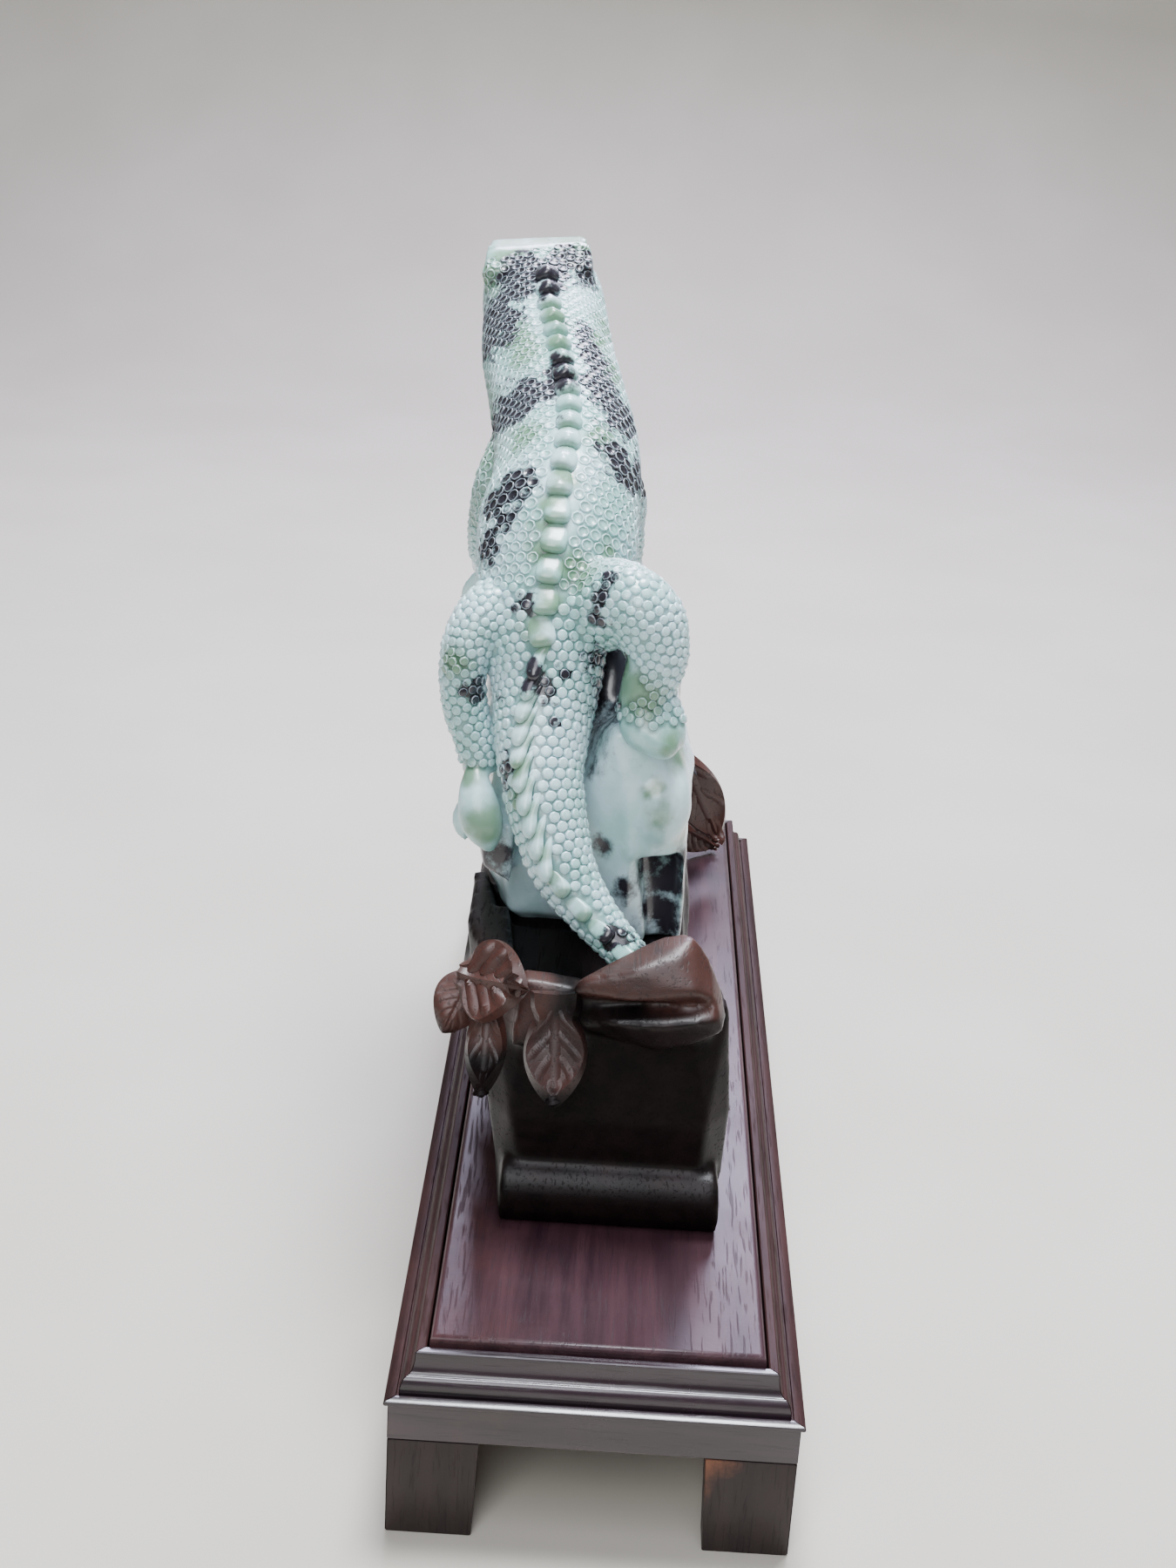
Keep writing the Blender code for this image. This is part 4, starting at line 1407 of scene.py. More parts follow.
            green = bm.verts.layers.float.new(Attribute.GREEN.value)
            for vert in bm.verts:
                nearest = group[tree.find(vert.co / MM)[1]]
                vert[charcoal], vert[green] = nearest.charcoal, nearest.green
            made.append(piece(name, bm, self.lizard.finish, ["jade_carving"]))
        return made


@dataclass
class Crest:
    """Overlapping plates from the nape to the tail's tip: peaked on the neck, cushions on the back, barbs behind."""

    lizard: Lizard
    spacing: float = 7.3
    tail_lean: float = 27.0
    barb_spacing: float = 5.2
    barb_top: float = 172.0
    barb_end: float = 124.0
    barb_size: float = 1.18
    squareness: float = 0.58
    # Painted shade: how much greener each plate turns towards its raised tail end.
    end_shade_green: float = 0.55

    def line(self, count: int) -> list[tuple[Vector, Vector, Vector]]:
        """The crest's foot line.

        Args:
            count: How many points to read.

        Returns:
            Place in millimetres, direction towards the head, and outward direction, from the tail to the nape.
        """
        made = []
        for here in stations(self.lizard.spine, count):
            lean = -math.radians(self.tail_lean) * ease(176, 140, here.centre.z)
            out = here.side * math.sin(lean) / here.width + here.up * math.cos(lean) / here.height
            made.append((here.rim(lean), here.along, out.normalized()))
        return made

    def cover(self, z: float) -> float:
        """Half width of the strip without scales, at a height in millimetres."""
        return 3.4 - 0.8 * ease(182, 168, z)

    def shingle(self, length: float, width: float, height: float, peak: float) -> bmesh.types.BMesh:
        """A plate that rises to a blunt end at -Y.

        Args:
            length: Its length, in millimetres.
            width: Its width, in millimetres.
            height: Its height, in millimetres.
            peak: How sharply its top falls off to both sides, from 0 to 1.

        Returns:
            The plate at the origin, in metres.
        """
        bm = bmesh.new()
        bmesh.ops.create_uvsphere(bm, u_segments=24, v_segments=16, radius=1.0)
        for vert in bm.verts:
            x, y, z = (math.copysign(abs(value) ** self.squareness, value) for value in vert.co)
            rise = 0.35 + 0.65 * ease(1.0, -0.7, y)
            roof = (1.0 - peak * abs(x)) * height * rise
            taper = 1.0 - 0.22 * ease(-0.2, 1.0, y)
            vert.co = Vector((x * width / 2 * taper, y * length / 2, z * (roof if z > 0 else 1.2))) * MM
        return bm

    def barb(self, size: float) -> bmesh.types.BMesh:
        """A tongue with an arm that reaches forward to the right.

        Args:
            size: Scale of the barb.

        Returns:
            The barb at the origin, in metres.
        """
        rows = (
            (-0.9, -3.6, 1.3, 0.4, 0.4), (-0.9, -2.8, 1.4, 1.3, 0.9), (-0.5, -1.0, 1.1, 1.7, 1.1),
            (0.8, 1.0, 0.7, 1.3, 0.9), (2.5, 2.8, 0.2, 0.8, 0.6), (3.6, 4.0, -0.2, 0.3, 0.3),
        )
        return lofted([tuple(value * size for value in row) for row in rows], 14, 24)

    def build(self) -> bpy.types.Object:
        """Places the plates along the crest from the nape to the tail's tip.

        Returns:
            The piece.
        """
        line = self.line(900)
        shapes, shaded_ends = [], []
        gone = self.spacing - 1.5
        step = self.spacing
        for (place, along, out), (following, _, _) in zip(reversed(line), reversed(line[:-1])):
            gone += (place - following).length
            if gone < step:
                continue
            gone = 0.0
            step = self.barb_spacing if self.barb_end < place.z < self.barb_top else self.spacing
            neck = ease(200, 214, place.z)
            if self.barb_end < place.z < self.barb_top:
                shape = self.barb(self.barb_size)
            elif place.z <= self.barb_end:
                shape = self.shingle(7.0, 4.2, 1.7, 0.1)
            else:
                shape = self.shingle(7.7 - 0.2 * neck, 6.5 + 0.2 * neck, 2.0 + 1.6 * neck, 0.12 + 0.5 * neck)
            side = along.cross(out).normalized()
            turn = Matrix((side, out.cross(side), out)).transposed().to_4x4()
            sway = Matrix.Rotation(math.radians(10.0) * ease(186, 176, place.z), 4, "Z")
            matrix = Matrix.Translation(place * MM) @ turn @ sway
            bmesh.ops.transform(shape, matrix=matrix, verts=shape.verts)
            shaded_ends.append(place - along * self.spacing * 0.42)
            shapes.append(shape)
        whole = joined(shapes)
        self.lizard.pattern.paint(whole)
        # Painted shade: green deepens round each plate's raised tail end.
        tree = point_tree(shaded_ends)
        layer = whole.verts.layers.float[Attribute.GREEN.value]
        for vert in whole.verts:
            vert[layer] = max(vert[layer], self.end_shade_green * ease(3.9, 2.0, tree.find(vert.co / MM)[2]))
        return piece("crest_plates", whole, self.lizard.finish, ["jade_carving"])


@dataclass
class Rock:
    """The rock under the lizard, polished smooth, with a ridge, a ledge and a dark recess at the tail end."""

    pattern: StonePattern
    finish: bpy.types.Material
    voxel: float = 1.1 * MM
    rounds: int = 9

    def shapes(self) -> list[bmesh.types.BMesh]:
        """The rock's overlapping forms.

        Returns:
            Closed shapes.
        """
        return [
            hull([(x, y, 90) for x, y in ((-20, -40), (6, -40), (9, 70), (-24, 70))]
                 + [(x, y, 99) for x, y in ((-28, -50), (4, -50), (12, 0), (12, 70), (2, 98), (-24, 98),
                                            (-34, 68), (-34, -20))]
                 + [(x, y, 116) for x, y in ((-30, -52), (2, -56), (15, -30), (16, 10), (15, 76), (4, 105),
                                             (-28, 105), (-38, 74), (-37, -30))]),
            hull([(-9, -60, 100), (1, -63, 100), (-9, -44, 98), (3, -44, 98), (-13, -56, 118), (1.5, -65, 120),
                  (-13, -57, 134), (1.0, -65, 140), (-6.6, -60, 141), (-5.4, -62, 149), (-4.0, -62.5, 154),
                  (-11, -42, 148), (3, -42, 154)]),
            hull([(0.6, -65.6, 122.5), (11.5, -62, 121.6), (14.6, -57, 124), (14.5, -40, 121), (-4, -42, 121.5),
                  (0.0, -65, 140), (11, -62, 140), (15, -56.5, 138), (15, -38, 141), (-4.4, -63, 153.8),
                  (4, -62, 150.5), (11, -58, 147.5), (11, -38, 149), (-5, -38, 154)]),
            hull([(0.5, -63.5, 122), (3.0, -62.5, 122), (-6, -60, 98), (4.6, -61.6, 112), (6.4, -61.4, 98),
                  (-4, -46, 98), (4.0, -46, 98), (3.0, -50, 122)]),
            hull([(-2, -56, 97), (13, -54.5, 97), (-2, -40, 97), (14, -40, 97), (-2, -57, 124), (14, -55.5, 124),
                  (-2, -40, 124), (15, -40, 124)]),
            hull([(13.6, -58.5, 97), (14.8, -57.5, 98), (12, -40, 97), (14.8, -38, 98), (13.8, -59, 122),
                  (15.4, -57.5, 122), (12, -38, 122), (15.4, -36, 122)]),
            hull([(-34, -62, 116), (-27, -64, 113), (-36, -48, 114), (-26, -48, 112), (-36, -60, 128),
                  (-27, -62, 128), (-36, -44, 130), (-26, -44, 130)]),
            hull([(x, y, 122) for x, y in ((-33, -50), (0, -52), (14, -44), (14, 74), (-36, 74), (-38, -20))]
                 + [(x, y, 146) for x, y in ((-4, -50), (13, -46), (13, 40), (4, 70), (-32, 70), (-38, 20),
                                             (-36, -40), (-24, -44))]
                 + [(x, y, 160) for x, y in ((-2, -30), (4, 30), (-6, 56), (-34, 54), (-36, -10), (-30, -30))]),
            hull([(x, y, 150) for x, y in ((2, -26), (7, 30), (2, 60), (-36, 62), (-42, 20), (-38, -20))]
                 + [(x, y, 166) for x, y in ((1, 8), (2, 34), (-6, 54), (-36, 56), (-43, 30), (-42, 8))]
                 + [(x, y, 186) for x, y in ((-10, -6), (-9, 40), (-16, 52), (-34, 52), (-36, 40), (-36, -4))]
                 + [(x, y, 205) for x, y in ((-16, 14), (-16, 40), (-34, 42), (-34, 14))]),
            blob((7.2, -58.5, 134), (8.2, 8.6, 11), (0, 0, 0)),
            # A blob behind the gap between the tail and the right shin, darkened by painted shade from the last
            # charcoal mass.
            blob((-6, -36, 158), (9, 6, 15), (-30, 0, 0)),
            blob((-22, 84, 128), (13, 16, 12), (0, 0, 20)),
            blob((4, 62, 134), (10, 20, 13), (0, 0, -10)),
            blob((-33, 40, 138), (8, 22, 14), (0, 0, 4)),
            blob((8, 4, 128), (8, 24, 16), (0, 0, 3)),
            blob((-33, -12, 132), (7, 22, 16), (0, 0, -3)),
        ]

    def relief(self, point: Vector) -> float:
        """Broad hollows and soft ridges of water-worn stone.

        Args:
            point: A point of the rock, in millimetres.

        Returns:
            The height there, in millimetres.
        """
        broad = noise.noise(point / 21.0) * 2.2
        ridges = abs(noise.noise(point / 13.0 + Vector((7, 3, 1)))) * 1.6
        calm = 0.25 + 0.75 * ease(-58, -30, point.y)
        return (broad + ridges - 0.8) * calm

    def build(self) -> list[bpy.types.Object]:
        """Makes the rock.

        Returns:
            Its one piece.
        """
        bm = fused(self.shapes(), self.voxel, self.rounds)
        displaced(bm, self.relief)
        smoothed(bm, bm.verts)
        self.pattern.paint(bm)
        return [piece("jade_rock", bm, self.finish, ["jade_carving"])]


# The mount.


@dataclass
class Leaf:
    """A carved leaf: a cupped blade with a middle vein and side veins cut into it. In millimetres."""

    root: Row
    tip: Row
    across: Row
    width: float
    arch: float = 1.5
    cup: float = 1.2
    thickness: float = 2.4
    veins: int = 5
    cut: float = 0.55
    fullness: float = 0.8
    blunt: float = 0.06

    def mesh(self) -> bmesh.types.BMesh:
        """The leaf, its veins on the side that faces away from the mount.

        Returns:
            One closed shape.
        """
        bm = bmesh.new()
        bmesh.ops.create_grid(bm, x_segments=36, y_segments=56, size=1.0)
        root, tip = Vector(self.root), Vector(self.tip)
        along = (tip - root).normalized()
        across = Vector(self.across)
        across = (across - along * across.dot(along)).normalized()
        out = across.cross(along)
        for vert in bm.verts:
            s, t = vert.co.x, (vert.co.y + 1) / 2
            outline = math.sin(math.pi * t**self.fullness) ** 0.75
            half = self.width / 2 * max(0.04 + 0.96 * outline, self.blunt * ease(0.6, 0.1, t))
            rise = self.arch * math.sin(math.pi * t) - self.cup * s * s
            rise -= self.cut * math.exp(-((s / 0.075) ** 2)) * ease(1.0, 0.85, t)
            for k in range(self.veins):
                start = 0.12 + 0.62 * k / max(1, self.veins - 1)
                off = t - start - abs(s) * 0.30
                fade = ease(0.06, 0.2, abs(s)) * ease(0.95, 0.72, abs(s))
                rise -= self.cut * 0.8 * math.exp(-((off / 0.018) ** 2)) * fade
            ripple = 0.25 * math.sin(9 * t + 2 * s)
            vert.co = (root + along * (tip - root).length * t + across * half * s + out * (rise + ripple)) * MM
        bmesh.ops.recalc_face_normals(bm, faces=bm.faces)
        mean = sum((face.normal for face in bm.faces), Vector())
        if mean.dot(out) < 0:
            bmesh.ops.reverse_faces(bm, faces=bm.faces)
        bmesh.ops.solidify(bm, geom=bm.faces, thickness=self.thickness * MM)
        bmesh.ops.recalc_face_normals(bm, faces=bm.faces)
        return bm


@dataclass
class CarvedMount:
    """The rosewood mount: foot slab, stump, rim, curled lip at the tail end, and applied leaves."""

    finish: bpy.types.Material
    voxel: float = 0.9 * MM
    rounds: int = 3
    bottom: float = 45.8
    slab_height: float = 12.5

    def trunk(self) -> bmesh.types.BMesh:
        """The main block, with its lip and vine stems and its hollow for the stone.

        Returns:
            One closed skin.
        """
        top = self.bottom + self.slab_height
        slab = hull([(x, y, z) for x, y in ((-24, -101), (26, -101), (18, -40), (17, 118), (-30, 118), (-31, -40))
                     for z in (self.bottom - 1.0, top + 1.5)]
                    + [(-24.4, -105, self.bottom - 1.0), (26.2, -105, self.bottom - 1.0), (-24.8, -107.4, 50),
                       (26.6, -107.4, 50), (-24.8, -107, 54.5), (26.4, -107, 54.5), (-24.4, -103.6, 58.8),
                       (26.0, -103.6, 58.8)])
        for vert in slab.verts:
            vert.co.z = max(vert.co.z, self.bottom * MM)
        stump = hull(
            [(x, y, top - 5) for x, y in ((-26, -94), (-19, -101), (13, -101), (17, -94),
                                          (17, 70), (12, 110), (-20, 112), (-31, 90), (-31, -50))]
            + [(x, y, 72) for x, y in ((-29, -93), (-23, -102), (14, -102), (17, -93),
                                       (17, 74), (12, 108), (-22, 110), (-33, 88), (-33, -50))]
            + [(x, y, 97.5) for x, y in ((-29, -90), (-20, -98), (12, -98), (15.6, -90),
                                         (17, 80), (10, 104), (-22, 106), (-34, 86), (-34, -50))]
        )
        stump_front = hull(
            [(x, y, top - 5) for x, y in ((-8, -101), (21, -101), (27, -94), (25, -78), (14, -70), (-8, -70))]
            + [(x, y, 72) for x, y in ((-8, -102), (22, -102), (28, -93), (26, -78), (14, -70), (-8, -70))]
            + [(x, y, 97.5) for x, y in ((-8, -98), (16, -98), (26, -90), (24, -78), (13, -70), (-8, -70))]
        )
        rim_left = hull([(-36, -60, 92), (-27, -66, 92), (-37, -30, 93), (-29, -28, 93), (-37, -66, 104),
                         (-29, -68, 104), (-38, -30, 101), (-31, -28, 101), (-33, -94, 96), (-24, -94, 96),
                         (-30, -93, 107), (-24, -90, 107)])
        rim_front = hull([(-24, -101, 90), (-8, -102, 90), (-24, -88, 90), (-8, -88, 90), (-22, -97, 105),
                          (-8, -99, 104), (-22, -91, 105), (-8, -92, 104)])
        rim_back = hull([(-24, 96, 94), (8, 96, 94), (-26, 108, 92), (10, 106, 92), (-20, 100, 108), (2, 100, 106),
                         (-20, 108, 106), (2, 106, 104)])
        shapes = [slab, stump, stump_front, rim_left, rim_front, rim_back, self.lip(), *self.ribs()]
        return hollowed(shapes, self.stone_hollow(), self.voxel, self.rounds)

    def stone_hollow(self) -> bmesh.types.BMesh:
        """The pocket that the rock stands in.

        Returns:
            The shape to cut from the block.
        """
        return hull([(x, y, 96.6) for x, y in ((-29, -53), (9, -55), (13.8, 0), (13.8, 70.8), (2.4, 100.8),
                                               (-24.4, 100.8), (-34.8, 70.6), (-34.8, -20.6))]
                    + [(x, y, 119) for x, y in ((-35, -61), (9, -65), (16, -51), (17, 10), (16, 77),
                                                (4.5, 107), (-28.5, 107), (-39, 74.6), (-38, -30.8))])

    def lip(self) -> bmesh.types.BMesh:
        """The curled lip that holds the tail's end: an upper fold with a sharp ridge over a lower roll.

        Returns:
            Its overlapping forms in one mesh.
        """
        fold = hull([
            (14.2, -91, 116.0), (8.5, -91.5, 115.0), (2.7, -98, 111.8), (-2.7, -99, 110.2), (-9, -101, 107.8),
            (16, -96, 117.8), (12.6, -102, 115.1), (3.1, -105, 112.7), (-9, -104, 108.9), (17.9, -107, 108.9),
            (3.1, -107.2, 106.2), (-10.9, -104.2, 105.6), (19.7, -96, 113.5), (23.3, -98.5, 106.4),
            (18, -91, 106), (6, -95, 106), (-9, -97.5, 103), (22.4, -97, 104), (21, -104.5, 106), (0, -102.5, 104.2),
        ])
        roll = hull([
            (-1.6, -108, 100.8), (10, -110, 101.6), (21.5, -108.6, 103.4), (23.8, -107, 99.6), (16.7, -106, 95.5),
            (9.2, -106, 93.2), (-0.6, -104, 95), (18, -98, 94), (0, -98, 93), (-8, -100, 95), (22, -98, 98),
            (-5, -102.5, 101.4), (10, -103.5, 103.2), (20, -104, 104.8), (24.3, -103, 102.5),
        ])
        turn = hull([
            (23.3, -98, 106.4), (24.7, -102, 100.6), (23.8, -107, 99.6), (22.4, -107.4, 104), (20.4, -106, 108.4),
            (19.7, -96, 113.5), (18.6, -103, 104), (18, -98, 98), (22, -97, 100),
        ])
        web = hull([
            (-10, -97, 92), (22, -97, 93), (-10, -91, 92), (22, -90, 93), (-9, -101, 97), (20, -101.5, 98),
            (-9, -96, 104), (16, -93, 108), (-9, -101.5, 104), (19, -101.5, 108), (24, -98, 102), (22, -91, 102),
        ])
        return joined([fold, roll, turn, web])

    def ribs(self) -> list[bmesh.types.BMesh]:
        """Vine stems that run along both sides under the rim.

        Returns:
            Closed shapes.
        """
        left = lofted([(-33.5, -86, 96, 2.6, 2.6), (-36, -55, 88, 2.4, 2.4), (-35.5, -20, 93, 2.2, 2.2),
                       (-35.5, 20, 86, 2.4, 2.4), (-36, 60, 92, 2.2, 2.2), (-32, 96, 86, 2.4, 2.4)], 12, 60)
        right = lofted([(23, -88, 94, 2.6, 2.6), (16, -58, 86, 2.2, 2.4), (16.4, -15, 90, 2.0, 2.2),
                        (16.8, 25, 84, 2.0, 2.4), (17.0, 65, 90, 2.0, 2.2), (12, 100, 84, 2.4, 2.4)], 12, 60)
        return [left, right]

    def leaves(self) -> dict[str, Leaf]:
        """Every applied leaf: a group at each end, and a row along each side.

        Returns:
            The leaves by name.
        """
        made = {
            "leaf_tail_left": Leaf((-35.6, -97, 105), (-20, -105.5, 106.5), (4, 8, 15), 19.0, arch=0.8,
                                   cup=0.8, thickness=2.8, veins=4, cut=0.6, fullness=0.75, blunt=0.35),
            "leaf_tail_outer": Leaf((-33, -93, 104), (-39.6, -100, 91.5), (-8, 4, 8), 12.5, cup=1.6, cut=0.3,
                                    thickness=3.4),
            "leaf_tail_low": Leaf((-29, -99, 103), (-29.5, -110, 81), (9, 0, 1), 9.5, arch=1.6, cut=0.25, veins=3,
                                  thickness=2.4, fullness=1.1, blunt=0.8),
            "leaf_tail_middle": Leaf((-14, -100, 104), (-13, -111.5, 80.5), (12, 0, 1), 14.5, arch=1.8,
                                     cut=0.3, veins=4, thickness=2.8, fullness=1.1, blunt=0.8),
            "leaf_head_right": Leaf((16, 96, 92), (31.5, 103, 58), (9, 2, 5), 15, arch=2.2, cup=0.6, thickness=3.4,
                                    veins=3, cut=0.4, fullness=1.25),
            "leaf_head_low": Leaf((18, 110, 60), (31, 122, 47.5), (8, 6, 14), 14),
        }
        for side, x, sign in (("left", -33.5, -1), ("right", 16.6, 1)):
            for k, (y, z, turn) in enumerate(((-70, 80, 1), (-34, 74, -1), (4, 80, 1), (44, 74, -1), (84, 80, 1))):
                lean = 10 * turn
                root, tip = (x - sign, y, z + 7), (x + sign * 2.6, y + lean, z - 13)
                made[f"leaf_{side}_{k + 1}"] = Leaf(root, tip, (0, -12 * sign, 0), 13, arch=1.6, cup=1.0)
        return made

    def worn(self, point: Vector) -> float:
        """How far wear has reddened the carving, most on the lip's top and on high edges, with a painted sheen band
        along the slab's top front edge.

        Args:
            point: A point of the mount, in millimetres.

        Returns:
            A number from 0 to 1.
        """
        crest = 1.0 - math.dist(point, (13, -95, 117)) / 20.0
        fold = 0.70 * ease(100, 105, point.z) * ease(-14, -6, point.x) * ease(-92, -94, point.y)
        roll = 0.30 * ease(92, 96, point.z) * ease(-10, -2, point.x) * ease(-100, -104, point.y)
        leaf = 0.78 * ease(22, 13, math.dist(point, (-30, -101, 106)))
        hanging = 0.55 * ease(13, 7, math.dist(point, (-14, -107, 92)))
        # Painted sheen: a band along the slab's top front edge, reddened and made shinier like the wear.
        sheen_band = 0.36 * ease(55.5, 57.5, point.z) * ease(62, 60, point.z) * ease(-98, -101, point.y)
        behind = 0.8 * ease(14, 20, point.x) * ease(70, 95, point.y)
        return max(0.0, crest, fold, roll, leaf, hanging, sheen_band, behind)

    def build(self) -> list[bpy.types.Object]:
        """Makes the block and its leaves.

        Returns:
            The pieces.
        """
        trunk = self.trunk()
        painted(trunk, Attribute.WORN_AND_SHEEN, self.worn)
        made = [piece("mount_block", trunk, self.finish, ["carved_mount"])]
        for name, leaf in self.leaves().items():
            bm = leaf.mesh()
            painted(bm, Attribute.WORN_AND_SHEEN, self.worn)
            made.append(piece(name, bm, self.finish, ["carved_mount"], sharp=50))
        return made


# The base.


@dataclass
class DisplayBase:
    """The moulded base: mitred rails round a raised panel, on four corner feet. Sizes are in metres."""

    width: float = 90 * MM
    length: float = 320 * MM
    fit: float = 0.3 * MM
    rail_bottom: float = 24.8 * MM
    fascia: float = 10 * MM
    fascia_inset: float = 0.9 * MM
    rise: float = 8.8 * MM
    rail_depth: float = 14 * MM
    panel_inset: float = 8.8 * MM
    panel_proud: float = 2.0 * MM
    foot_width: float = 19.6 * MM
    foot_taper: float = 0.9 * MM
    foot_thickness: float = 8 * MM

    @property
    def ledge(self) -> float:
        """Height of the outer ledge."""
        return self.rail_bottom + self.fascia

    def section(self) -> list[tuple[float, float]]:
        """The rail's section, round its outline.

        Returns:
            Points of (distance in from the outer face, height over the outer ledge).
        """
        round_start, round_end, low_rise = 3.0 * MM, 4.5 * MM, 3.7 * MM
        cove_end, cove_top = 6.0 * MM, self.rise - 0.5 * MM
        steps = 14
        section = [
            (self.rail_depth, -self.fascia),
            (self.fascia_inset, -self.fascia),
            (self.fascia_inset, -1.5 * MM),
            (0.35 * MM, -1.25 * MM),
            (0.05 * MM, -0.95 * MM),
            (0.0, -0.55 * MM),
            (0.12 * MM, -0.2 * MM),
            (0.5 * MM, 0.0),
            (2.4 * MM, 0.0),
            (2.55 * MM, -0.6 * MM),
            (round_start, -0.6 * MM),
        ]
        for step in range(steps + 1):
            angle = math.pi / 2 * step / steps
            section.append(
                (round_start + (round_end - round_start) * (1 - math.cos(angle)), low_rise * math.sin(angle))
            )
        for step in range(1, steps + 1):
            angle = math.pi / 2 * step / steps
            section.append(
                (
                    round_end + (cove_end - round_end) * math.sin(angle),
                    low_rise + (cove_top - low_rise) * (1 - math.cos(angle)),
                )
            )
        section += [
            (6.1 * MM, self.rise - 0.2 * MM),
            (6.4 * MM, self.rise),
            (7.9 * MM, self.rise),
            (8.2 * MM, self.rise - 0.3 * MM),
            (8.2 * MM, 1.2 * MM),
            (5.2 * MM, 1.2 * MM),
            (5.2 * MM, -2.0 * MM),
            (self.rail_depth, -2.0 * MM),
        ]
        return section

    def rail(self, length: float, width: float, turn: float) -> bmesh.types.BMesh:
        """A mitred rail along the -Y side of a frame, then turned into place.

        Args:
            length: The frame's size along the rail.
            width: The frame's size across it.
            turn: Angle about +Z, in radians.

        Returns:
            The rail.
        """
        bm = bmesh.new()
        half = length / 2 - self.fit / 2
        points = [bm.verts.new((-(half - d), -(width / 2 - d), self.ledge + h)) for d, h in self.section()]
        face = bm.faces.new(points)
        far = bmesh.ops.extrude_face_region(bm, geom=[face])
        for vert in (item for item in far["geom"] if isinstance(item, bmesh.types.BMVert)):
            vert.co.x = -vert.co.x
        bmesh.ops.rotate(bm, cent=(0, 0, 0), matrix=Matrix.Rotation(turn, 3, "Z"), verts=bm.verts)
        bmesh.ops.recalc_face_normals(bm, faces=bm.faces)
        return bm

    def panel(self) -> bmesh.types.BMesh:
        """The raised panel with softly rounded edges, and its tongue.

        Returns:
            Both in one mesh.
        """
        top = self.ledge + self.rise + self.panel_proud
        bottom = self.ledge - 1.7 * MM
        field_size = (self.width - 2 * self.panel_inset, self.length - 2 * self.panel_inset, top - bottom)
        bm = block(field_size, (0, 0, (top + bottom) / 2))
        edges = [edge for edge in bm.edges if min(vert.co.z for vert in edge.verts) > top - MM]
        bmesh.ops.bevel(bm, geom=edges, offset=1.5 * MM, segments=6, profile=0.5, affect="EDGES", material=-1)
        reach = 5.5 * MM
        thick = 2.5 * MM
        tongue = block((self.width - 2 * reach, self.length - 2 * reach, thick), (0, 0, bottom + thick / 2))
        return joined([bm, tongue])

    def foot_board(self, length: float, width: float, mirrored: bool, turn: float) -> bmesh.types.BMesh:
        """One mitred, slightly tapered board of a corner foot.

        Args:
            length: The frame's size along the board.
            width: The frame's size across it.
            mirrored: Whether its mitre is at the other end.
            turn: Angle about +Z, in radians.

        Returns:
            The board.
        """
        bm = bmesh.new()
        bmesh.ops.create_cube(bm, size=1.0)
        outer_x = length / 2 - self.fascia_inset - self.fit / 2
        outer_y = width / 2 - self.fascia_inset
        top = self.rail_bottom - self.fit
        for vert in bm.verts:
            at_corner, at_back, at_top = vert.co.x < 0, vert.co.y > 0, vert.co.z > 0
            mitre = self.foot_thickness if at_back else 0.0
            taper = 0.0 if at_top else self.foot_taper
            along = mitre if at_corner else self.foot_width - taper
            deep = self.foot_thickness if at_back else 0.0
            vert.co = Vector((-outer_x + along, -outer_y + deep, top if at_top else 0.0))
        bmesh.ops.bevel(bm, geom=list(bm.edges), offset=0.35 * MM, segments=2, profile=0.5, affect="EDGES",
                        material=-1)
        if mirrored:
            bmesh.ops.scale(bm, vec=(-1, 1, 1), verts=bm.verts)
        bmesh.ops.rotate(bm, cent=(0, 0, 0), matrix=Matrix.Rotation(turn, 3, "Z"), verts=bm.verts)
        bmesh.ops.recalc_face_normals(bm, faces=bm.faces)
        return bm

    def frame_wear(self, point: Vector) -> float:
        """Wear along the moulding: redder on the left side and at the mitres.

        Args:
            point: A point of a rail, in millimetres.

        Returns:
            A number from 0 to 1.
        """
        left = 0.4 * ease(-40.5, -43, point.x) * ease(60, -150, point.y)
        corner = 0.5 * ease(14, 3, abs(abs(point.x) + 160 - abs(point.y) - 45))
        return max(left, 0.2 * corner)

    def panel_wear(self, point: Vector) -> float:
        """Wear on the panel: redder along its left edge."""
        return 0.5 * ease(-22, -36, point.x)

    def foot_wear(self, point: Vector) -> float:
        """Bare wood where the right foot at the tail end is chipped."""
        chip = 1.4 - math.dist(point, (25.4, -159.5, 21.0)) / 3.6
        return max(0.0, min(1.0, chip))

    def build(self) -> list[bpy.types.Object]:
        """Makes the rails, the panel and the foot boards.

        Returns:
            The pieces.
        """
        return [*self.rails(), self.top(), *self.feet()]

    def rails(self) -> list[bpy.types.Object]:
        """Makes the four rails.

        Returns:
            The pieces.
        """
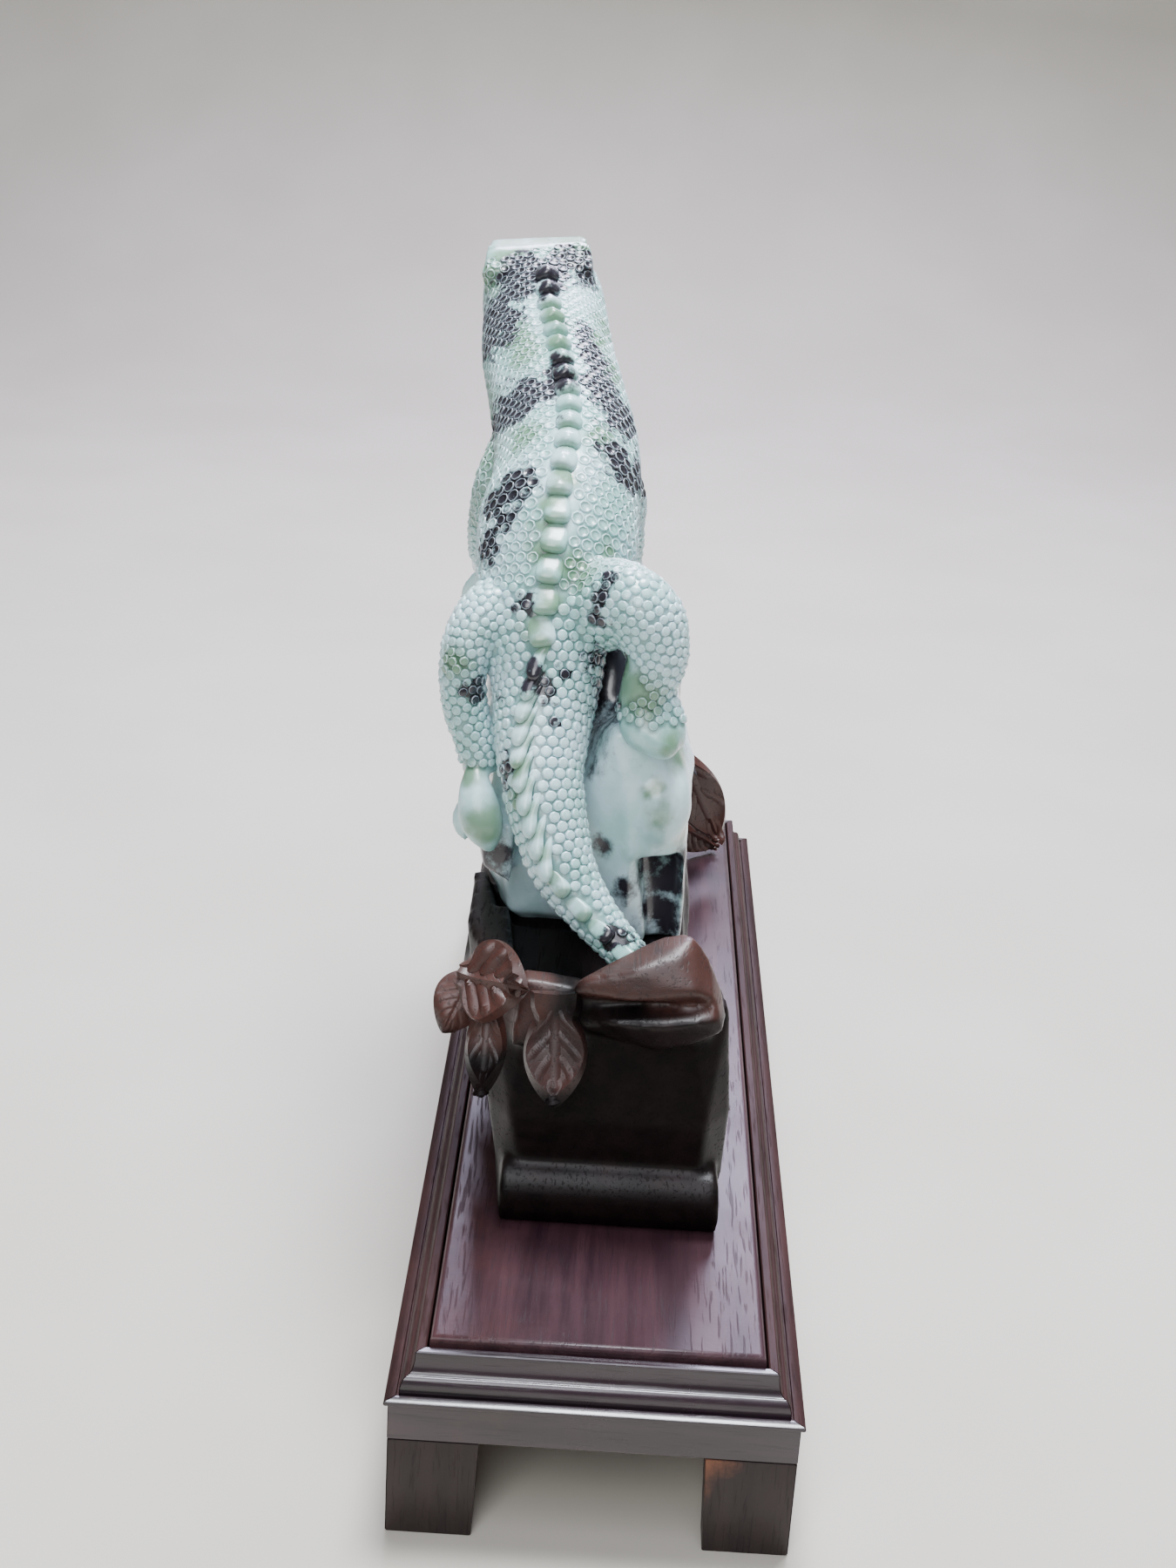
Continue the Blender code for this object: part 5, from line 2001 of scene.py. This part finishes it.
        # Painted sheen: the front and back rails are tinted lavender, standing in for the lavender sheen on their
        # ledges; the side rails keep a plain brown.
        lavender_sheen_rail_finish = RosewoodFinish(
            "rail_across_lavender_sheen", Grain.ALONG_X, dark=(0.010, 0.006, 0.009, 1), light=(0.030, 0.016, 0.024, 1),
            roughness=0.30, coat=0.75,
        ).material()
        along_y = RosewoodFinish(
            "rail_along", Grain.ALONG_Y, dark=(0.016, 0.008, 0.008, 1), light=(0.044, 0.020, 0.019, 1),
            roughness=0.45, coat=0.0, specular=0.06,
        ).material()
        quarter = math.pi / 2
        rails = (
            ("front", self.width, self.length, 0, lavender_sheen_rail_finish),
            ("right", self.length, self.width, quarter, along_y),
            ("back", self.width, self.length, 2 * quarter, lavender_sheen_rail_finish),
            ("left", self.length, self.width, 3 * quarter, along_y),
        )
        made = []
        for name, length, width, turn, finish in rails:
            bm = self.rail(length, width, turn)
            painted(bm, Attribute.WORN_AND_SHEEN, self.frame_wear)
            made.append(piece(f"rail_{name}", bm, finish, [f"frame_rail_{name}"], sharp=32))
        return made

    def top(self) -> bpy.types.Object:
        """Makes the panel.

        Returns:
            The piece.
        """
        panel_finish = RosewoodFinish(
            "panel_rosewood", Grain.ALONG_Y, dark=(0.022, 0.010, 0.015, 1), light=(0.056, 0.025, 0.032, 1),
            roughness=0.34, coat=0.0, specular=0.22,
        ).material()
        bm = self.panel()
        painted(bm, Attribute.WORN_AND_SHEEN, self.panel_wear)
        return piece("raised_panel", bm, panel_finish, ["top_panel"], sharp=40)

    def feet(self) -> list[bpy.types.Object]:
        """Makes the eight foot boards.

        Returns:
            The pieces.
        """
        quarter = math.pi / 2
        made = []
        foot_finish = RosewoodFinish(
            "foot_rosewood", Grain.ALONG_Z, dark=(0.015, 0.009, 0.0095, 1), light=(0.026, 0.015, 0.0145, 1),
            worn=(0.50, 0.17, 0.07, 1), roughness=0.5, coat=0.05, relief=0.4,
        ).material()
        for end, y_sign in (("front", -1), ("back", 1)):
            for side, x_sign in (("left", -1), ("right", 1)):
                end_turn = 0.0 if y_sign < 0 else math.pi
                boards = (
                    ("end", self.width, self.length, x_sign * -y_sign > 0, end_turn),
                    ("side", self.length, self.width, x_sign * y_sign > 0, quarter * x_sign),
                )
                for kind, length, width, mirrored, turn in boards:
                    bm = self.foot_board(length, width, mirrored, turn)
                    painted(bm, Attribute.WORN_AND_SHEEN, self.foot_wear)
                    name = f"{end}_{side}_{kind}"
                    slot, nodes = "rosewood_feet", [f"foot_{name}"]
                    made.append(piece(f"board_{name}", bm, foot_finish, nodes, sharp=40))
        return made


@dataclass
class HiddenJoinery:
    """The CAD pieces inside the base, which keep their shape and get a finish."""

    wooden: tuple[str, ...] = ("mitre_key", "dowel", "corner_block", "cross_batten")
    steel: tuple[str, ...] = ("mount_screw",)

    def build(self) -> list[bpy.types.Object]:
        """Gives each node of the joinery its material.

        Returns:
            The dressed nodes.
        """
        made = []
        for starts, finish in ((self.wooden, PlainWoodFinish()), (self.steel, SteelFinish())):
            material = finish.material()
            for node in (node for name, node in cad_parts.items() if name.startswith(starts)):
                node.data.materials.clear()
                node.data.materials.append(material)
                made.append(node)
        return made


# The room.


@dataclass
class Studio:
    """A pale sweep, soft lights and the camera, whose place is in millimetres; the rest is in metres."""

    camera_place: Row = (-6.8, -539.8, 329.6)
    pitch: float = 21.69
    yaw: float = -0.38
    roll: float = 3.39
    lens: float = 50.0
    sensor: float = 36.0
    half_width: float = 4.0
    near: float = -2.5
    bend: float = 0.9
    rise: float = 0.55
    wall_top: float = 3.0
    arc_steps: int = 12
    target: Row = (0.0, -0.02, 0.12)

    def floor(self) -> None:
        """A pale floor that curves up behind the object."""
        bm = bmesh.new()
        rim = [bm.verts.new((-self.half_width, self.near, 0.0))]
        for step in range(self.arc_steps + 1):
            angle = math.pi / 2 * step / self.arc_steps
            y, z = self.bend + self.rise * math.sin(angle), self.rise * (1 - math.cos(angle))
            rim.append(bm.verts.new((-self.half_width, y, z)))
        rim.append(bm.verts.new((-self.half_width, self.bend + self.rise, self.wall_top)))
        edges = [bm.edges.new(pair) for pair in zip(rim, rim[1:])]
        far = bmesh.ops.extrude_edge_only(bm, edges=edges)
        moved = [item for item in far["geom"] if isinstance(item, bmesh.types.BMVert)]
        bmesh.ops.translate(bm, vec=(2 * self.half_width, 0, 0), verts=moved)
        mesh = bpy.data.meshes.new("sweep")
        bm.to_mesh(mesh)
        bm.free()
        mesh.shade_smooth()
        made, graph, shader = surface("pale_sweep")
        place = graph.add("TexCoord").outputs["Object"]
        tone = graph.ramp(graph.noise(place, 9.0, 3.0), 0.3, 0.7)
        graph.feed(shader.inputs["Base Color"], graph.blend(tone, (0.56, 0.53, 0.46, 1), (0.60, 0.57, 0.50, 1)))
        shader.inputs["Roughness"].default_value = 0.85
        mesh.materials.append(made)
        sweep = bpy.data.objects.new("sweep", mesh)
        bpy.context.scene.collection.objects.link(sweep)

    def lamp(self, name: str, place: Row, target: Row, size: float, power: float, colour: Row) -> None:
        """One soft square light.

        Args:
            name: Its name.
            place: Where it hangs, in metres.
            target: What it points at, in metres.
            size: Its side, in metres.
            power: Its power, in watts.
            colour: Its colour.
        """
        data = bpy.data.lights.new(name, "AREA")
        data.size = size
        data.energy = power
        data.color = colour
        lamp = bpy.data.objects.new(name, data)
        lamp.location = place
        lamp.rotation_euler = (Vector(target) - Vector(place)).to_track_quat("-Z", "Y").to_euler()
        bpy.context.scene.collection.objects.link(lamp)

    def lights(self) -> None:
        """A cool light overhead, weaker ones round it and a dim room."""
        target = self.target
        self.lamp("overhead", (0.05, 0.08, 1.0), target, 0.34, 21.5, (0.90, 0.94, 1.0))
        self.lamp("front_top", (0.0, -0.5, 0.95), target, 0.5, 3.5, (0.88, 0.88, 1.0))
        self.lamp("camera_fill", (-0.25, -1.1, 0.9), target, 0.6, 9.0, (0.95, 0.97, 1.0))
        self.lamp("side_fill", (0.95, -0.1, 0.5), target, 0.6, 0.6, (1.0, 0.98, 0.95))
        self.lamp("back_strip", (0.05, 0.95, 0.85), target, 0.5, 21.0, (0.78, 0.75, 1.0))
        world = bpy.data.worlds.new("room")
        world.use_nodes = True
        background = world.node_tree.nodes["Background"]
        background.inputs["Color"].default_value = (0.80, 0.78, 0.74, 1)
        background.inputs["Strength"].default_value = 0.15
        bpy.context.scene.world = world

    def camera(self) -> None:
        """The camera behind the tail, looking down along the base."""
        data = bpy.data.cameras.new("camera")
        data.lens = self.lens
        data.sensor_width = self.sensor
        made = bpy.data.objects.new("camera", data)
        made.matrix_world = (
            Matrix.Translation(Vector(self.camera_place) * MM)
            @ Matrix.Rotation(math.radians(-self.yaw), 4, "Z")
            @ Matrix.Rotation(math.radians(90.0 - self.pitch), 4, "X")
            @ Matrix.Rotation(math.radians(self.roll), 4, "Z")
        )
        bpy.context.scene.collection.objects.link(made)
        bpy.context.scene.camera = made

    def build(self) -> None:
        """Sets the room."""
        self.floor()
        self.lights()
        self.camera()


def main() -> None:
    """Builds every part of the object in order and reports its pieces, then builds the room round it."""
    logging.basicConfig(level=logging.INFO, format="%(message)s")
    noise.seed_set(SEED)
    pattern = StonePattern()
    scale_stone = JadeFinish("scaled_jade").material()
    rock_stone = JadeFinish(
        "rock_jade", white=(0.68, 0.87, 0.94, 1), mint=(0.40, 0.66, 0.64, 1), roughness=0.24, clouding=-0.04,
        patch_edge=0.3,
    ).material()
    mount_wood = RosewoodFinish(
        "mount_rosewood", Grain.ALONG_Y, dark=(0.0025, 0.0016, 0.0018, 1), light=(0.009, 0.0048, 0.005, 1),
        worn=(0.070, 0.026, 0.020, 1), roughness=0.42, coat=0.0, specular=0.09, polish=0.55,
    ).material()
    assemblies = (
        Lizard(pattern, scale_stone), Rock(pattern, rock_stone), CarvedMount(mount_wood), DisplayBase(),
        HiddenJoinery(),
    )
    for assembly in assemblies:
        for made in assembly.build():
            LOG.info("%s: %d faces", made.name, len(made.data.polygons))
    Studio().build()


if __name__ == "__main__":
    main()
